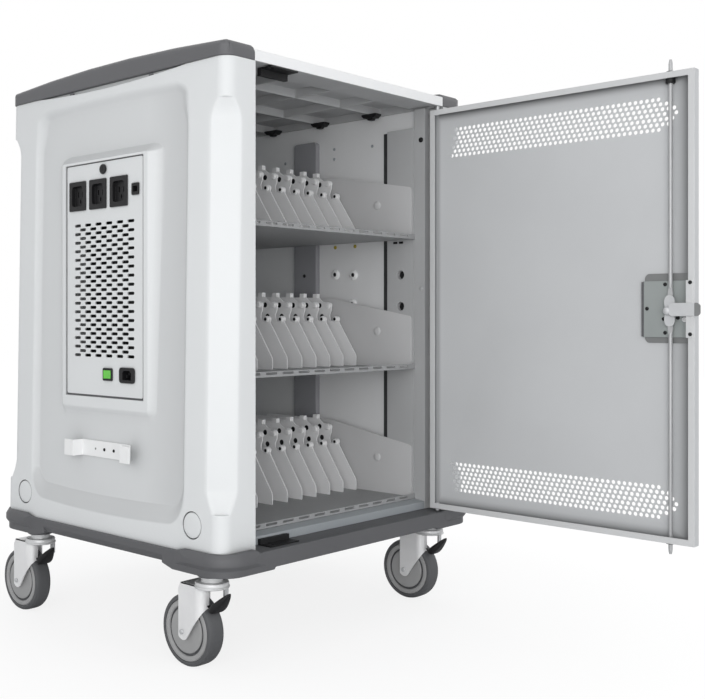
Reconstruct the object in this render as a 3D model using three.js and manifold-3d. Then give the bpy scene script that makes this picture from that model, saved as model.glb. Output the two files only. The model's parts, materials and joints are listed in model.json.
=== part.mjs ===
import * as THREE from 'three';
import { ConvexGeometry } from 'three/addons/geometries/ConvexGeometry.js';
import { mergeVertices } from 'three/addons/utils/BufferGeometryUtils.js';
import Module from 'manifold-3d';

// Laptop charging cart. Millimetres, +Z up, door side towards -Y, power panel on the -X side.
// The origin is on the floor under the middle of the cart body.

const wasm = await Module();
wasm.setup();

// Cart body
const OPENING_HALF = 273.6;
const BODY_FRONT = -320;
const BODY_BACK = 320;
const DECK_Z = 206;
const PANEL_TOP_Z = 1033;
const PANEL_HALF = 341;
const PANEL_LEAN = 14;
const PANEL_CORNER_R = 24;
const TOP_Z = 1053;
const CAP_CREST_Z = 1072;
const GAP = 0.3;

// Dished side panel, raised boss and power plate
const DISH_DEPTH = 10.5;
const DISH_HALF = 230;
const DISH_Z = [247, 1007];
const BOSS_HALF = 128;
const BOSS_Z = [445, 896];
const BOSS_OUT = 9;
const BOSS_DEPTH = 24;
const GRIP_HALF = 220;
const GRIP_Z = [1024, 1033.5];
const GRIP_DEPTH = 6.5;
const WRAP_REACH = 24.5;
const SCOOP = [[276, 640], [295, 630.3], [314, 624], [925, 624], [944.5, 628.8], [965, 643]];
const PLATE_HALF = 114;
const PLATE_Z = [456, 888];
const PLATE_FACE_X = -339.5;
const PLATE_THICK = 2.5;

// Base
const BASE_HALF_X = 360;
const BASE_HALF_Y = 332;
const BASE_CORNER_R = 46;
const EAR_BOTTOM_Z = 172;
const EAR_TOP_Z = 212;
const BUMPER = 6;

// Shelves and dividers
const SHELF_Z = [225, 494, 763];
const SHELF_HALF = 256;
const SHELF_FRONT = -262;
const SHELF_BACK = 250;
const DIVIDER_COUNT = 12;
const DIVIDER_PITCH = 43.5;
const DIVIDER_FRONT = -118;
const SHEET = 2.5;
const POST_Y = [-286, -260, -189];
const POST_TOP_Z = 995;
const BUTTON_Y = -164;
const BUTTON_RISE = 77;
const BUTTON_R = 9;

// Door, drawn open at a right angle
const DOOR_WIDTH = 541.2;
const DOOR_THICK = 24;
const DOOR_Z = [212, 1023];
const DOOR_EDGE_R = 7;
const DOOR_SKIN_X = 270.6;
const DOOR_HINGE_Y = -306;
const PIVOT = [DOOR_SKIN_X - DOOR_EDGE_R, DOOR_HINGE_Y - DOOR_EDGE_R];
const ROD_Y = DOOR_HINGE_Y - DOOR_WIDTH + 46;
const ROD_X = DOOR_SKIN_X - DOOR_THICK / 2;
const ROD_R = 4;
const ROD_ENDS = [192, 1046];
const LOCK_Z = 612;

// Casters
const CASTER_X = 314;
const CASTER_Y = 256;
const WHEEL_R = 62.5;
const WHEEL_SIDES = 16;
const TRAIL = 48;
const CHEEK_X = [22.2, 25.2];
const PEDAL_PIN = [20, 129];

const PALE = { color: 0xdfe1e3, roughness: 0.55, metalness: 0 };
const DARK = { color: 0x606165, roughness: 0.6, metalness: 0 };
const SHEET_GREY = { color: 0xb9bdc2, roughness: 0.5, metalness: 0.1 };
const DOOR_GREY = { color: 0xc6c9cd, roughness: 0.5, metalness: 0.1 };
const BLACK = { color: 0x1c1c1e, roughness: 0.5, metalness: 0 };
const ZINC = { color: 0xd6d8da, roughness: 0.35, metalness: 0.9 };
const TYRE = { color: 0x6a6b6f, roughness: 0.8, metalness: 0 };
const GREEN = { color: 0x2f9e57, roughness: 0.35, metalness: 0 };

const cart = new THREE.Group();
cart.name = 'laptop_charging_cart';

// Turns a three.js geometry into a closed solid for add, subtract and intersect.
function solid(geometry) {
  const bare = new THREE.BufferGeometry();
  bare.setAttribute('position', geometry.getAttribute('position'));
  bare.setIndex(geometry.getIndex());
  const merged = mergeVertices(bare, 1e-4);
  const place = merged.getAttribute('position');
  const order = merged.getIndex().array;
  const triangles = [];
  let volume = 0;
  for (let i = 0; i < order.length; i += 3) {
    const [a, b, c] = [order[i], order[i + 1], order[i + 2]];
    if (a === b || b === c || c === a) continue;
    const [pa, pb, pc] = [a, b, c].map((n) => new THREE.Vector3().fromBufferAttribute(place, n));
    volume += pa.dot(pb.cross(pc));
    triangles.push(a, b, c);
  }
  if (volume < 0) triangles.reverse();
  const mesh = new wasm.Mesh({
    numProp: 3,
    vertProperties: new Float32Array(place.array),
    triVerts: new Uint32Array(triangles),
  });
  return new wasm.Manifold(mesh);
}

function toGeometry(body) {
  const mesh = body.getMesh();
  const geometry = new THREE.BufferGeometry();
  geometry.setAttribute('position', new THREE.BufferAttribute(new Float32Array(mesh.vertProperties), 3));
  geometry.setIndex(new THREE.BufferAttribute(new Uint32Array(mesh.triVerts), 1));
  return geometry;
}

// Adds a named piece to the cart. A mirrored piece is the same moulding for the +X side.
function piece(name, body, look, mirrored = false) {
  let geometry = toGeometry(body);
  if (mirrored) {
    geometry.scale(-1, 1, 1);
    geometry = toGeometry(solid(geometry));
  }
  geometry.computeVertexNormals();
  const mesh = new THREE.Mesh(geometry, new THREE.MeshStandardMaterial(look));
  mesh.name = name;
  cart.add(mesh);
}

function outline(points) {
  return new THREE.Shape(points.map(([a, b]) => new THREE.Vector2(a, b)));
}

function rounded(a0, a1, b0, b1, r) {
  const shape = new THREE.Shape();
  shape.moveTo(a0 + r, b0);
  shape.lineTo(a1 - r, b0);
  shape.absarc(a1 - r, b0 + r, r, -Math.PI / 2, 0);
  shape.lineTo(a1, b1 - r);
  shape.absarc(a1 - r, b1 - r, r, 0, Math.PI / 2);
  shape.lineTo(a0 + r, b1);
  shape.absarc(a0 + r, b1 - r, r, Math.PI / 2, Math.PI);
  shape.lineTo(a0, b0 + r);
  shape.absarc(a0 + r, b0 + r, r, Math.PI, Math.PI * 1.5);
  return shape;
}

function extruded(shape, depth, curveSegments) {
  return new THREE.ExtrudeGeometry(shape, { depth, bevelEnabled: false, curveSegments });
}

function block(x0, x1, y0, y1, z0, z1) {
  const geometry = new THREE.BoxGeometry(x1 - x0, y1 - y0, z1 - z0);
  geometry.translate((x0 + x1) / 2, (y0 + y1) / 2, (z0 + z1) / 2);
  return solid(geometry);
}

// A shape in x and y, swept along z.
function alongZ(shape, z0, z1, curve = 4) {
  const geometry = extruded(shape, z1 - z0, curve);
  geometry.translate(0, 0, z0);
  return solid(geometry);
}

// A shape in y and z, swept along x.
function alongX(shape, x0, x1, curve = 4) {
  const geometry = extruded(shape, x1 - x0, curve);
  const turn = new THREE.Matrix4();
  turn.makeBasis(new THREE.Vector3(0, 1, 0), new THREE.Vector3(0, 0, 1), new THREE.Vector3(1, 0, 0));
  geometry.applyMatrix4(turn);
  geometry.translate(x0, 0, 0);
  return solid(geometry);
}

// A shape in x and z, swept along y.
function alongY(shape, y0, y1, curve = 4) {
  const geometry = extruded(shape, y1 - y0, curve);
  geometry.rotateX(Math.PI / 2);
  geometry.translate(0, y1, 0);
  return solid(geometry);
}

function roundZ(x, y, z0, z1, r0, r1 = r0, sides = 12) {
  const geometry = new THREE.CylinderGeometry(r1, r0, z1 - z0, sides);
  geometry.rotateX(Math.PI / 2);
  geometry.translate(x, y, (z0 + z1) / 2);
  return solid(geometry);
}

function roundX(y, z, x0, x1, r, sides = 12) {
  const geometry = new THREE.CylinderGeometry(r, r, x1 - x0, sides);
  geometry.rotateZ(-Math.PI / 2);
  geometry.translate((x0 + x1) / 2, y, z);
  return solid(geometry);
}

// The hull of rings given as [x, [[y, z], ...]].
function hullOf(rings) {
  const points = [];
  for (const [x, ring] of rings) {
    for (const [y, z] of ring) points.push(new THREE.Vector3(x, y, z));
  }
  return solid(new ConvexGeometry(points));
}

// The side panels lean outwards towards the floor, and so does all that sits in them.
function leaned(body) {
  const slope = PANEL_LEAN / (PANEL_TOP_Z - DECK_Z);
  const shear = new THREE.Matrix4().makeShear(0, 0, 0, 0, slope, 0);
  const geometry = toGeometry(body);
  geometry.applyMatrix4(shear);
  geometry.translate(-slope * PANEL_TOP_Z, 0, 0);
  return solid(geometry);
}

// Rolled bumper that stands proud of each corner ear.
function bumper() {
  const points = [];
  for (const [z, out] of [[184, 0], [191, BUMPER], [202, BUMPER], [EAR_TOP_Z, 0]]) {
    const [halfX, halfY] = [BASE_HALF_X + out, BASE_HALF_Y + out];
    const ring = rounded(-halfX, halfX, -halfY, halfY, BASE_CORNER_R + out).getPoints(4);
    for (const p of ring) points.push(new THREE.Vector3(p.x, p.y, z));
  }
  const ring = solid(new ConvexGeometry(points));
  // it runs out to nothing along the sides and the ends
  const sides = outline([[-367, -240], [-359.5, -212], [359.5, -212], [367, -240], [400, -240], [400, 240],
    [367, 240], [359.5, 212], [-359.5, 212], [-367, 240], [-400, 240], [-400, -240]]);
  const ends = outline([[-290, -339], [-262, -331.5], [-262, 331.5], [-290, 339], [-290, 400], [290, 400],
    [290, 339], [262, 331.5], [262, -331.5], [290, -339], [290, -400], [-290, -400]]);
  return ring.subtract(alongZ(sides, 100, 300)).subtract(alongZ(ends, 100, 300));
}

// Base: a moulded dark tray with raised corner ears, open underneath, solid where the casters go in.
function baseChassis() {
  const ringX = PANEL_HALF + PANEL_LEAN + 0.4;
  const ringY = BODY_BACK + 0.4;
  const plan = rounded(-BASE_HALF_X, BASE_HALF_X, -BASE_HALF_Y, BASE_HALF_Y, BASE_CORNER_R);
  let body = alongZ(plan, EAR_BOTTOM_Z, EAR_TOP_Z, 4).add(bumper());
  const seat = rounded(-ringX, ringX, -ringY, ringY, PANEL_CORNER_R);
  body = body.subtract(alongZ(seat, DECK_Z, DECK_Z + 20, 4));
  for (const side of [-1, 1]) {
    const sideX = [side * 340, side * 380].sort((a, b) => a - b);
    const endY = [side * 318, side * 350].sort((a, b) => a - b);
    // the ears fall away to a low rail half way along each side
    const dip = outline([[-238, 230], [-238, EAR_TOP_Z + 0.5], [-212, DECK_Z], [212, DECK_Z],
      [238, EAR_TOP_Z + 0.5], [238, 230]]);
    body = body.subtract(alongX(dip, sideX[0], sideX[1]));
    const belly = outline([[-222, 150], [-209, 171], [-176, 180], [176, 180], [209, 171], [222, 150]]);
    body = body.subtract(alongX(belly, sideX[0] - 40, sideX[1] + 40));
    const bevel = outline([[side * 361, 194], [side * 361, 174], [side * 346, 174]]);
    body = body.subtract(alongY(bevel, -178, 178));
    const sill = outline([[-284, 230], [-284, EAR_TOP_Z + 0.5], [-275, DECK_Z], [275, DECK_Z],
      [284, EAR_TOP_Z + 0.5], [284, 230]]);
    body = body.subtract(alongY(sill, endY[0], endY[1]));
    const keel = outline([[-250, 150], [-236, 176], [236, 176], [250, 150]]);
    body = body.subtract(alongY(keel, endY[0] - 20, endY[1] + 20));
  }
  body = body.subtract(block(-274, 274, -318, 318, 150, DECK_Z - 10));
  body = body.subtract(block(-346, 346, -210, 210, 150, DECK_Z - 10));
  for (const x of [-CASTER_X, CASTER_X]) {
    for (const y of [-CASTER_Y, CASTER_Y]) {
      body = body.add(roundZ(x, y, 162, 180, 25, 27));
      body = body.subtract(roundZ(x, y, 150, 192, 15.8));
    }
  }
  body = body.subtract(roundZ(PIVOT[0], PIVOT[1], DECK_Z - 8, DECK_Z + 9, 4.3));
  body = body.subtract(roundZ(DOOR_SKIN_X - 495.2, BODY_FRONT + 12, 190, 220, 6.5));
  return body;
}

piece('base_chassis', baseChassis(), DARK);

// Sheet-metal floor with a turned-up sill behind the door
let floorPan = block(-SHELF_HALF, SHELF_HALF, -286, 299, DECK_Z + GAP, DECK_Z + 3);
floorPan = floorPan.add(block(-SHELF_HALF, SHELF_HALF, -286, -283, DECK_Z + GAP, 221));
piece('floor_pan', floorPan, SHEET_GREY);

// Edge of the dish at a share t of its depth: corner arcs, a sagging foot and a rising head.
function dishRing(t) {
  const half = DISH_HALF - 32 * t;
  const low = DISH_Z[0] + 36 * t;
  const high = DISH_Z[1] - 20 * t;
  const r = 44 - 8 * t;
  const ring = rounded(-half, half, low, high, r).getPoints(5).map((p) => [p.x, p.y]);
  for (const share of [-0.6, -0.25, 0.25, 0.6]) {
    const y = share * (half - r);
    ring.push([y, low - 9 * (1 - share * share)]);
    ring.push([y, high + 6 * (1 - share * share)]);
  }
  return ring;
}

// Edge of the boss at a share t of its depth: broad flanks, a steeper head.
function bossRing(t) {
  const half = BOSS_HALF + 36 * t;
  const ring = rounded(-half, half, BOSS_Z[0] - 36 * t, BOSS_Z[1] + 21 * t, 14 + 22 * t);
  return ring.getPoints(4).map((p) => [p.x, p.y]);
}

// The boss and all that sits in it stand upright, proud of the leaning panel.
function upright(body) {
  return body.translate([-BOSS_OUT, 0, 0]);
}

// A long facet that cuts back each upright corner and runs out in a curve at both ends.
function cornerScoop(front) {
  const points = [];
  const [out, end] = [PANEL_HALF + 1, BODY_BACK + 1];
  for (const [z, reach] of SCOOP) {
    points.push(new THREE.Vector3(end - reach, front * end, z));
    points.push(new THREE.Vector3(-out, front * (reach - out), z));
  }
  for (const [z] of [SCOOP[0], SCOOP[SCOOP.length - 1]]) points.push(new THREE.Vector3(-out, front * end, z));
  return solid(new ConvexGeometry(points));
}

// Shallow crescent under the top cap, where the fingers go
function fingerCrescent() {
  const edge = [[GRIP_HALF, PANEL_TOP_Z + 7], [-GRIP_HALF, PANEL_TOP_Z + 7]];
  for (let share = -1; share <= 1.01; share += 0.2) {
    edge.push([GRIP_HALF * share, GRIP_Z[0] + (GRIP_Z[1] - GRIP_Z[0]) * share * share]);
  }
  return alongX(outline(edge), -350, -PANEL_HALF + GRIP_DEPTH);
}

function sidePanel(withPower) {
  const plan = rounded(-PANEL_HALF, PANEL_HALF, BODY_FRONT, BODY_BACK, PANEL_CORNER_R);
  let body = alongZ(plan, DECK_Z + GAP, PANEL_TOP_Z, 4);
  body = body.subtract(block(-230, 350, -330, 330, 200, 1040));
  body = body.subtract(block(-313, -220, BODY_FRONT + 26, BODY_BACK - 26, 212, 1027));
  body = body.subtract(hullOf([[-PANEL_HALF - 0.2 * DISH_DEPTH, dishRing(-0.2)],
    [-PANEL_HALF + DISH_DEPTH, dishRing(1)]]));
  body = body.subtract(cornerScoop(-1));
  body = body.subtract(cornerScoop(1));
  body = body.subtract(fingerCrescent());
  for (const y of [-250, 250]) body = body.subtract(roundX(y, 252, -350, -PANEL_HALF + 4, 22.3, 16));
  body = leaned(body);
  if (withPower) {
    body = body.add(upright(hullOf([[-PANEL_HALF, bossRing(0)], [-PANEL_HALF + BOSS_DEPTH, bossRing(1)]])));
    body = body.subtract(upright(block(-350, -336.7, -116.5, 116.5, PLATE_Z[0] - 3, PLATE_Z[1] + 1.5)));
    body = body.subtract(upright(block(-350, -300, -106, 106, PLATE_Z[0] + 10, PLATE_Z[1] - 3)));
  }
  return body.intersect(block(-400, -OPENING_HALF, -400, 400, 0, 1100));
}

piece('left_side_panel', sidePanel(true), PALE);
piece('right_side_panel', sidePanel(false), PALE, true);

// Round covers over the side panels' fixing bolts
for (const [end, y] of [['front', -250], ['rear', 250]]) {
  const cover = leaned(roundX(y, 252, -PANEL_HALF - 0.6, -PANEL_HALF + 3.7, 22, 16));
  piece(`left_bolt_cover_${end}`, cover, PALE);
  piece(`right_bolt_cover_${end}`, cover, PALE, true);
}

// Top caps: dark mouldings with an arched crest and rounded edges
function capRing(inset) {
  const half = BODY_BACK - inset;
  const ring = [];
  for (const side of [-1, 1]) {
    ring.push([side * half, PANEL_TOP_Z + GAP]);
    ring.push([side * half, 1047 - inset]);
    ring.push([side * (half - 3), 1055 - inset]);
  }
  for (let i = 0; i <= 10; i += 1) {
    const share = 0.97 * (i / 5 - 1);
    ring.push([share * half, 1060 + (CAP_CREST_Z - 1060) * (1 - share * share) - inset]);
  }
  return ring;
}

function topCap() {
  const outer = -PANEL_HALF - 2.5;
  const edge = [[0, 12], [1, 8], [4, 4], [8, 1.2], [13, 0], [90, 0]];
  const body = hullOf(edge.map(([x, inset]) => [outer + x, capRing(inset)]));
  const plan = rounded(outer, -outer, BODY_FRONT, BODY_BACK, PANEL_CORNER_R);
  const room = alongZ(plan, 1000, 1100, 4);
  const half = block(-400, -OPENING_HALF - GAP, -400, 400, 1000, 1100);
  return body.intersect(room).intersect(half);
}

piece('left_top_cap', topCap(), DARK);
piece('right_top_cap', topCap(), DARK, true);

// Top panel: a shallow moulding with a rib grid underneath and a solid corner for the hinge pin
function topPanel() {
  const half = OPENING_HALF - GAP;
  let body = block(-half, half, BODY_FRONT + GAP, BODY_BACK - GAP, PANEL_TOP_Z + GAP, TOP_Z);
  const cells = 4;
  const rib = 4;
  const cellX = (2 * half - 10 - rib * (cells - 1)) / cells;
  const cellY = (2 * BODY_BACK - 10 - rib * (cells - 1)) / cells;
  const corner = block(250, 280, -330, -301, 1000, 1100);
  for (let i = 0; i < cells; i += 1) {
    for (let j = 0; j < cells; j += 1) {
      const x = -half + 5 + i * (cellX + rib);
      const y = BODY_FRONT + 5 + j * (cellY + rib);
      let cell = block(x, x + cellX, y, y + cellY, 1020, TOP_Z - 3);
      if (i === cells - 1 && j === 0) cell = cell.subtract(corner);
      body = body.subtract(cell);
    }
  }
  return body.subtract(roundZ(PIVOT[0], PIVOT[1], 1020, 1044, 4.3));
}

piece('top_panel', topPanel(), PALE);

// Rear panel: a flanged sheet pan closing the back
let rearPanel = block(-OPENING_HALF + GAP, OPENING_HALF - GAP, 300, 318, DECK_Z + GAP, PANEL_TOP_Z);
rearPanel = rearPanel.subtract(block(-271, 271, 290, 316, DECK_Z + 3, PANEL_TOP_Z - 3));
piece('rear_panel', rearPanel, PALE);

// Side frames: a sheet wall with a folded front post that carries the shelves
let sideFrame = block(-OPENING_HALF + GAP, -270, -286, 299.7, DECK_Z + GAP, PANEL_TOP_Z);
sideFrame = sideFrame.add(block(-271, -SHELF_HALF - GAP, POST_Y[0], POST_Y[1], DECK_Z + GAP, PANEL_TOP_Z));
sideFrame = sideFrame.add(block(-271, -SHELF_HALF - GAP, POST_Y[1] - 1, POST_Y[2], DECK_Z + GAP, POST_TOP_Z));
sideFrame = sideFrame.subtract(block(-258.5, -250, -260, -257.5, 200, 1040));
for (const z of [690, 624]) {
  sideFrame = sideFrame.subtract(roundX(-224, z, -268, -250, 9.5, 12));
}
piece('left_side_frame', sideFrame, SHEET_GREY);
piece('right_side_frame', sideFrame, SHEET_GREY, true);

// Dark upright cable ducts behind the shelf sides
const duct = alongX(rounded(13, 80, DECK_Z + 5, 997, 8), -269.7, -SHELF_HALF - GAP, 2);
piece('left_rear_duct', duct, DARK);
piece('right_rear_duct', duct, DARK, true);

// Shelf: floor, slotted front lip, sloped side plates and a row of dividers with cable-clip noses
function dividerShape(z) {
  const nose = [[0, 0], [0, 23], [48, 94], [50, 104], [60, 107], [68, 97], [74, 110], [71, 125], [78, 138],
    [88, 136], [110, 149], [111, 157], [121, 157], [122, 149], [268, 149], [268, 0]];
  return outline(nose.map(([y, h]) => [DIVIDER_FRONT + y, z + h]));
}

function shelf(z) {
  const deck = z + 3;
  let body = block(-SHELF_HALF, SHELF_HALF, SHELF_FRONT, SHELF_BACK, z, deck);
  body = body.add(block(-SHELF_HALF, SHELF_HALF, SHELF_FRONT, SHELF_FRONT + SHEET, z, z + 10));
  for (let i = 0; i < DIVIDER_COUNT - 1; i += 1) {
    const x = (i - (DIVIDER_COUNT - 2) / 2) * DIVIDER_PITCH;
    body = body.subtract(block(x - 13, x + 13, SHELF_FRONT - 5, SHELF_FRONT + 5, z + 4, z + 8));
  }
  const side = outline([[-253, z], [-253, z + 109], [-35, z + 149], [150, z + 149], [150, z]]);
  for (const x of [-SHELF_HALF, SHELF_HALF - SHEET]) {
    const button = x < 0 ? [x + 1, x + SHEET + 3] : [x - 3, x + 1];
    body = body.add(alongX(side, x, x + SHEET));
    body = body.add(roundX(BUTTON_Y, z + BUTTON_RISE, button[0], button[1], BUTTON_R));
  }
  for (let i = 0; i < DIVIDER_COUNT; i += 1) {
    const x = (i - (DIVIDER_COUNT - 1) / 2) * DIVIDER_PITCH;
    body = body.add(alongX(dividerShape(deck - 1), x - SHEET / 2, x + SHEET / 2));
  }
  return body;
}

// Charging strip at the back of each shelf, its outlets sunk in one channel that faces the dividers
function powerStrip(z) {
  const body = block(-235, 235, 195, 240, z + 3 + GAP, z + 48);
  return body.subtract(block(-226, 226, 190, 199, z + 12, z + 40));
}

for (const [level, z] of [['lower', SHELF_Z[0]], ['middle', SHELF_Z[1]], ['upper', SHELF_Z[2]]]) {
  piece(`${level}_shelf`, shelf(z), SHEET_GREY);
  piece(`${level}_power_strip`, powerStrip(z), BLACK);
}

// Power plate with its staggered vent, cut for the outlets, port, switch, inlet and lock
const SOCKET_Y = [79, 16.5, -46];
const SOCKET_Z = 829.5;
const PORT_Y = -94;
const LOW_Z = 496;
const SWITCH_Y = -13.5;
const INLET_Y = -70;
const PANEL_LOCK_Z = 874;

function powerPlate() {
  let body = block(PLATE_FACE_X, PLATE_FACE_X + PLATE_THICK, -PLATE_HALF, PLATE_HALF, PLATE_Z[0], PLATE_Z[1]);
  const rows = 31;
  for (let row = 0; row < rows; row += 1) {
    const count = row % 2 === 0 ? 6 : 5;
    const z = 527 + 3 + row * 8.13;
    for (let i = 0; i < count; i += 1) {
      const y = (i - (count - 1) / 2) * 32;
      body = body.subtract(block(-350, -330, y - 9, y + 9, z - 2.7, z + 2.7));
    }
  }
  for (const y of SOCKET_Y) body = body.subtract(block(-350, -330, y - 23.3, y + 23.3, 804.2, 854.8));
  body = body.subtract(block(-350, -330, PORT_Y - 8.3, PORT_Y + 8.3, 821.2, 838.8));
  body = body.subtract(block(-350, -330, SWITCH_Y - 12.3, SWITCH_Y + 12.3, 486.2, 505.8));
  body = body.subtract(block(-350, -330, INLET_Y - 16.3, INLET_Y + 16.3, 484.2, 507.8));
  body = body.subtract(roundX(0, PANEL_LOCK_Z, -350, -330, 7.3));
  return upright(body);
}

piece('power_plate', powerPlate(), PALE);

// An insert that drops through the plate and bears on it with a thin flange
function insert(y, z, halfY, halfZ, flange, depth) {
  const face = PLATE_FACE_X - GAP;
  const rim = rounded(y - halfY - flange, y + halfY + flange, z - halfZ - flange, z + halfZ + flange, 2);
  const body = alongX(rim, face - 2, face, 1);
  return body.add(block(face - 1, face + depth, y - halfY, y + halfY, z - halfZ, z + halfZ));
}

for (let i = 0; i < SOCKET_Y.length; i += 1) {
  const y = SOCKET_Y[i];
  let socket = insert(y, SOCKET_Z, 23, 25, 2.6, 36);
  socket = socket.subtract(alongX(rounded(y - 17, y + 17, SOCKET_Z - 19, SOCKET_Z + 19, 6), -345, -334, 1));
  for (const [dy, dz, h] of [[-7, 4, 5], [7, 4, 5], [0, -9, 3.5]]) {
    const z = SOCKET_Z + dz;
    socket = socket.subtract(block(-336, -322, y + dy - 2, y + dy + 2, z - h, z + h));
  }
  piece(`outlet_${i + 1}`, upright(socket), BLACK);
}

let port = insert(PORT_Y, 830, 8, 8.5, 2.2, 18);
port = port.subtract(block(-345, -330, PORT_Y - 6, PORT_Y + 6, 825, 835));
piece('data_port', upright(port), BLACK);

let inlet = insert(INLET_Y, LOW_Z, 16, 11.5, 0, 26);
const inletEars = rounded(INLET_Y - 22, INLET_Y + 22, LOW_Z - 14, LOW_Z + 14, 6);
inlet = inlet.add(alongX(inletEars, PLATE_FACE_X - GAP - 2, PLATE_FACE_X - GAP, 2));
const inletMouth = outline([[-12.5, -8.5], [12.5, -8.5], [12.5, 4], [8, 8.5], [-8, 8.5], [-12.5, 4]]
  .map(([y, z]) => [INLET_Y + y, LOW_Z + z]));
inlet = inlet.subtract(alongX(inletMouth, -345, -322));
for (const [dy, dz] of [[-7, -2], [7, -2], [0, 3]]) {
  const y = INLET_Y + dy;
  inlet = inlet.add(block(-336, -320, y - 1, y + 1, LOW_Z + dz - 2.2, LOW_Z + dz + 2.2));
}
piece('power_inlet', upright(inlet), BLACK);

// Rocker switch: a frame, and a rocker that lies on its lower half at rest
let switchFrame = insert(SWITCH_Y, LOW_Z, 12, 9.5, 2, 20);
switchFrame = switchFrame.subtract(block(-345, -325, SWITCH_Y - 10.5, SWITCH_Y + 10.5, LOW_Z - 8, LOW_Z + 8));
piece('switch_frame', upright(switchFrame), BLACK);

const rockerProfile = outline([[-9.6, -2.2], [-8.6, 3.6], [0, 1.6], [8.6, 3.6], [9.6, -2.2], [0, -6.5]]);
const rockerShape = new THREE.ExtrudeGeometry(rockerProfile, { depth: 15.2, bevelEnabled: false });
rockerShape.translate(0, 0, -7.6);
rockerShape.rotateZ(Math.PI / 2 + THREE.MathUtils.degToRad(8));
rockerShape.translate(PLATE_FACE_X - 0.5, SWITCH_Y, LOW_Z);
piece('rocker', upright(solid(rockerShape)), GREEN);

// Cam lock of the power plate: face, barrel and a cam arm that turns up behind the boss
let panelLock = roundX(0, PANEL_LOCK_Z, PLATE_FACE_X - 3.3, PLATE_FACE_X - GAP, 9.2);
panelLock = panelLock.add(roundX(0, PANEL_LOCK_Z, PLATE_FACE_X - 1, -301.5, 7));
panelLock = panelLock.add(block(-304.5, -301.5, -4, 27, PANEL_LOCK_Z - 5, PANEL_LOCK_Z + 5));
panelLock = panelLock.subtract(block(-350, -341.5, -1, 1, PANEL_LOCK_Z - 5, PANEL_LOCK_Z + 5));
piece('panel_lock', upright(panelLock), BLACK);

// Cord wrap: one bent strip on the dish floor, its ends turned away from each other
const wrapX = -PANEL_HALF + DISH_DEPTH - GAP;
const wrapEnd = wrapX - WRAP_REACH;
const wrapLine = outline([[wrapX, -72], [wrapX, 72], [wrapEnd + 2, 72], [wrapEnd + 2, 98], [wrapEnd, 98],
  [wrapEnd, 70], [wrapX - 2, 70], [wrapX - 2, -70], [wrapEnd, -70], [wrapEnd, -98],
  [wrapEnd + 2, -98], [wrapEnd + 2, -72]]);
piece('cord_wrap', leaned(alongZ(wrapLine, 341, 371)), PALE);

// Door: a flanged pan with a turned-in rim
function doorPlan(inset) {
  const r = DOOR_EDGE_R - inset;
  const far = DOOR_HINGE_Y - DOOR_WIDTH + inset;
  const near = DOOR_HINGE_Y - inset;
  const skin = DOOR_SKIN_X - inset;
  const rim = DOOR_SKIN_X - DOOR_THICK + inset;
  const shape = new THREE.Shape();
  shape.moveTo(rim, far);
  shape.lineTo(skin - r, far);
  shape.absarc(skin - r, far + r, r, -Math.PI / 2, 0);
  shape.lineTo(skin, near - r);
  shape.absarc(skin - r, near - r, r, 0, Math.PI / 2);
  shape.lineTo(rim, near);
  return shape;
}

function doorShell() {
  const far = DOOR_HINGE_Y - DOOR_WIDTH;
  const rim = DOOR_SKIN_X - DOOR_THICK;
  let body = alongZ(doorPlan(0), DOOR_Z[0], DOOR_Z[1]);
  body = body.subtract(alongZ(doorPlan(2), DOOR_Z[0] + 2, DOOR_Z[1] - 2));
  body = body.subtract(block(rim - 5, rim + 3, far + 11, DOOR_HINGE_Y - 11, DOOR_Z[0] + 11, DOOR_Z[1] - 11));
  body = body.subtract(roundZ(PIVOT[0], PIVOT[1], 200, 1030, 4.3));
  body = body.subtract(roundZ(ROD_X, ROD_Y, 200, 1030, 8));
  return body.subtract(roundX(ROD_Y, LOCK_Z, 260, 280, 5.5));
}

piece('door_shell', doorShell(), DOOR_GREY);

// Hinge pins fixed in the top panel and the base
piece('upper_hinge_pin', roundZ(PIVOT[0], PIVOT[1], 1014, 1043.7, 4), ZINC);
piece('lower_hinge_pin', roundZ(PIVOT[0], PIVOT[1], DECK_Z - 7.7, 222, 4), ZINC);

// Lock plate: a stepped bracket from the door skin up on to the rim at the free edge
const acrossDoor = (u, t) => [DOOR_SKIN_X - t, DOOR_HINGE_Y - u];
const bracket = outline([[443, 2.3], [445, 2.3], [445, 5], [529.5, 5], [529.5, 24.3], [539, 24.3],
  [539, 26.3], [527.5, 26.3], [527.5, 7], [443, 7]].map(([u, t]) => acrossDoor(u, t)));
let lockPlate = alongZ(bracket, LOCK_Z - 46, LOCK_Z + 52);
lockPlate = lockPlate.subtract(roundX(ROD_Y, LOCK_Z, 255, 275, 5.5));
piece('lock_plate', lockPlate, ZINC);

// Bushes that guide the latch rods through the door's flanges
function rodBush(z, inward) {
  const low = Math.min(z - 2 * inward, z + 4 * inward);
  const ring = roundZ(ROD_X, ROD_Y, low, low + 6, 7.7);
  const shelfLow = Math.min(z + 2.3 * inward, z + 4.3 * inward);
  const collar = roundZ(ROD_X, ROD_Y, shelfLow, shelfLow + 2, 9.5);
  return ring.add(collar).subtract(roundZ(ROD_X, ROD_Y, low - 5, low + 12, ROD_R + GAP));
}

piece('upper_rod_bush', rodBush(DOOR_Z[1], -1), BLACK);
piece('lower_rod_bush', rodBush(DOOR_Z[0], 1), BLACK);

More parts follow.
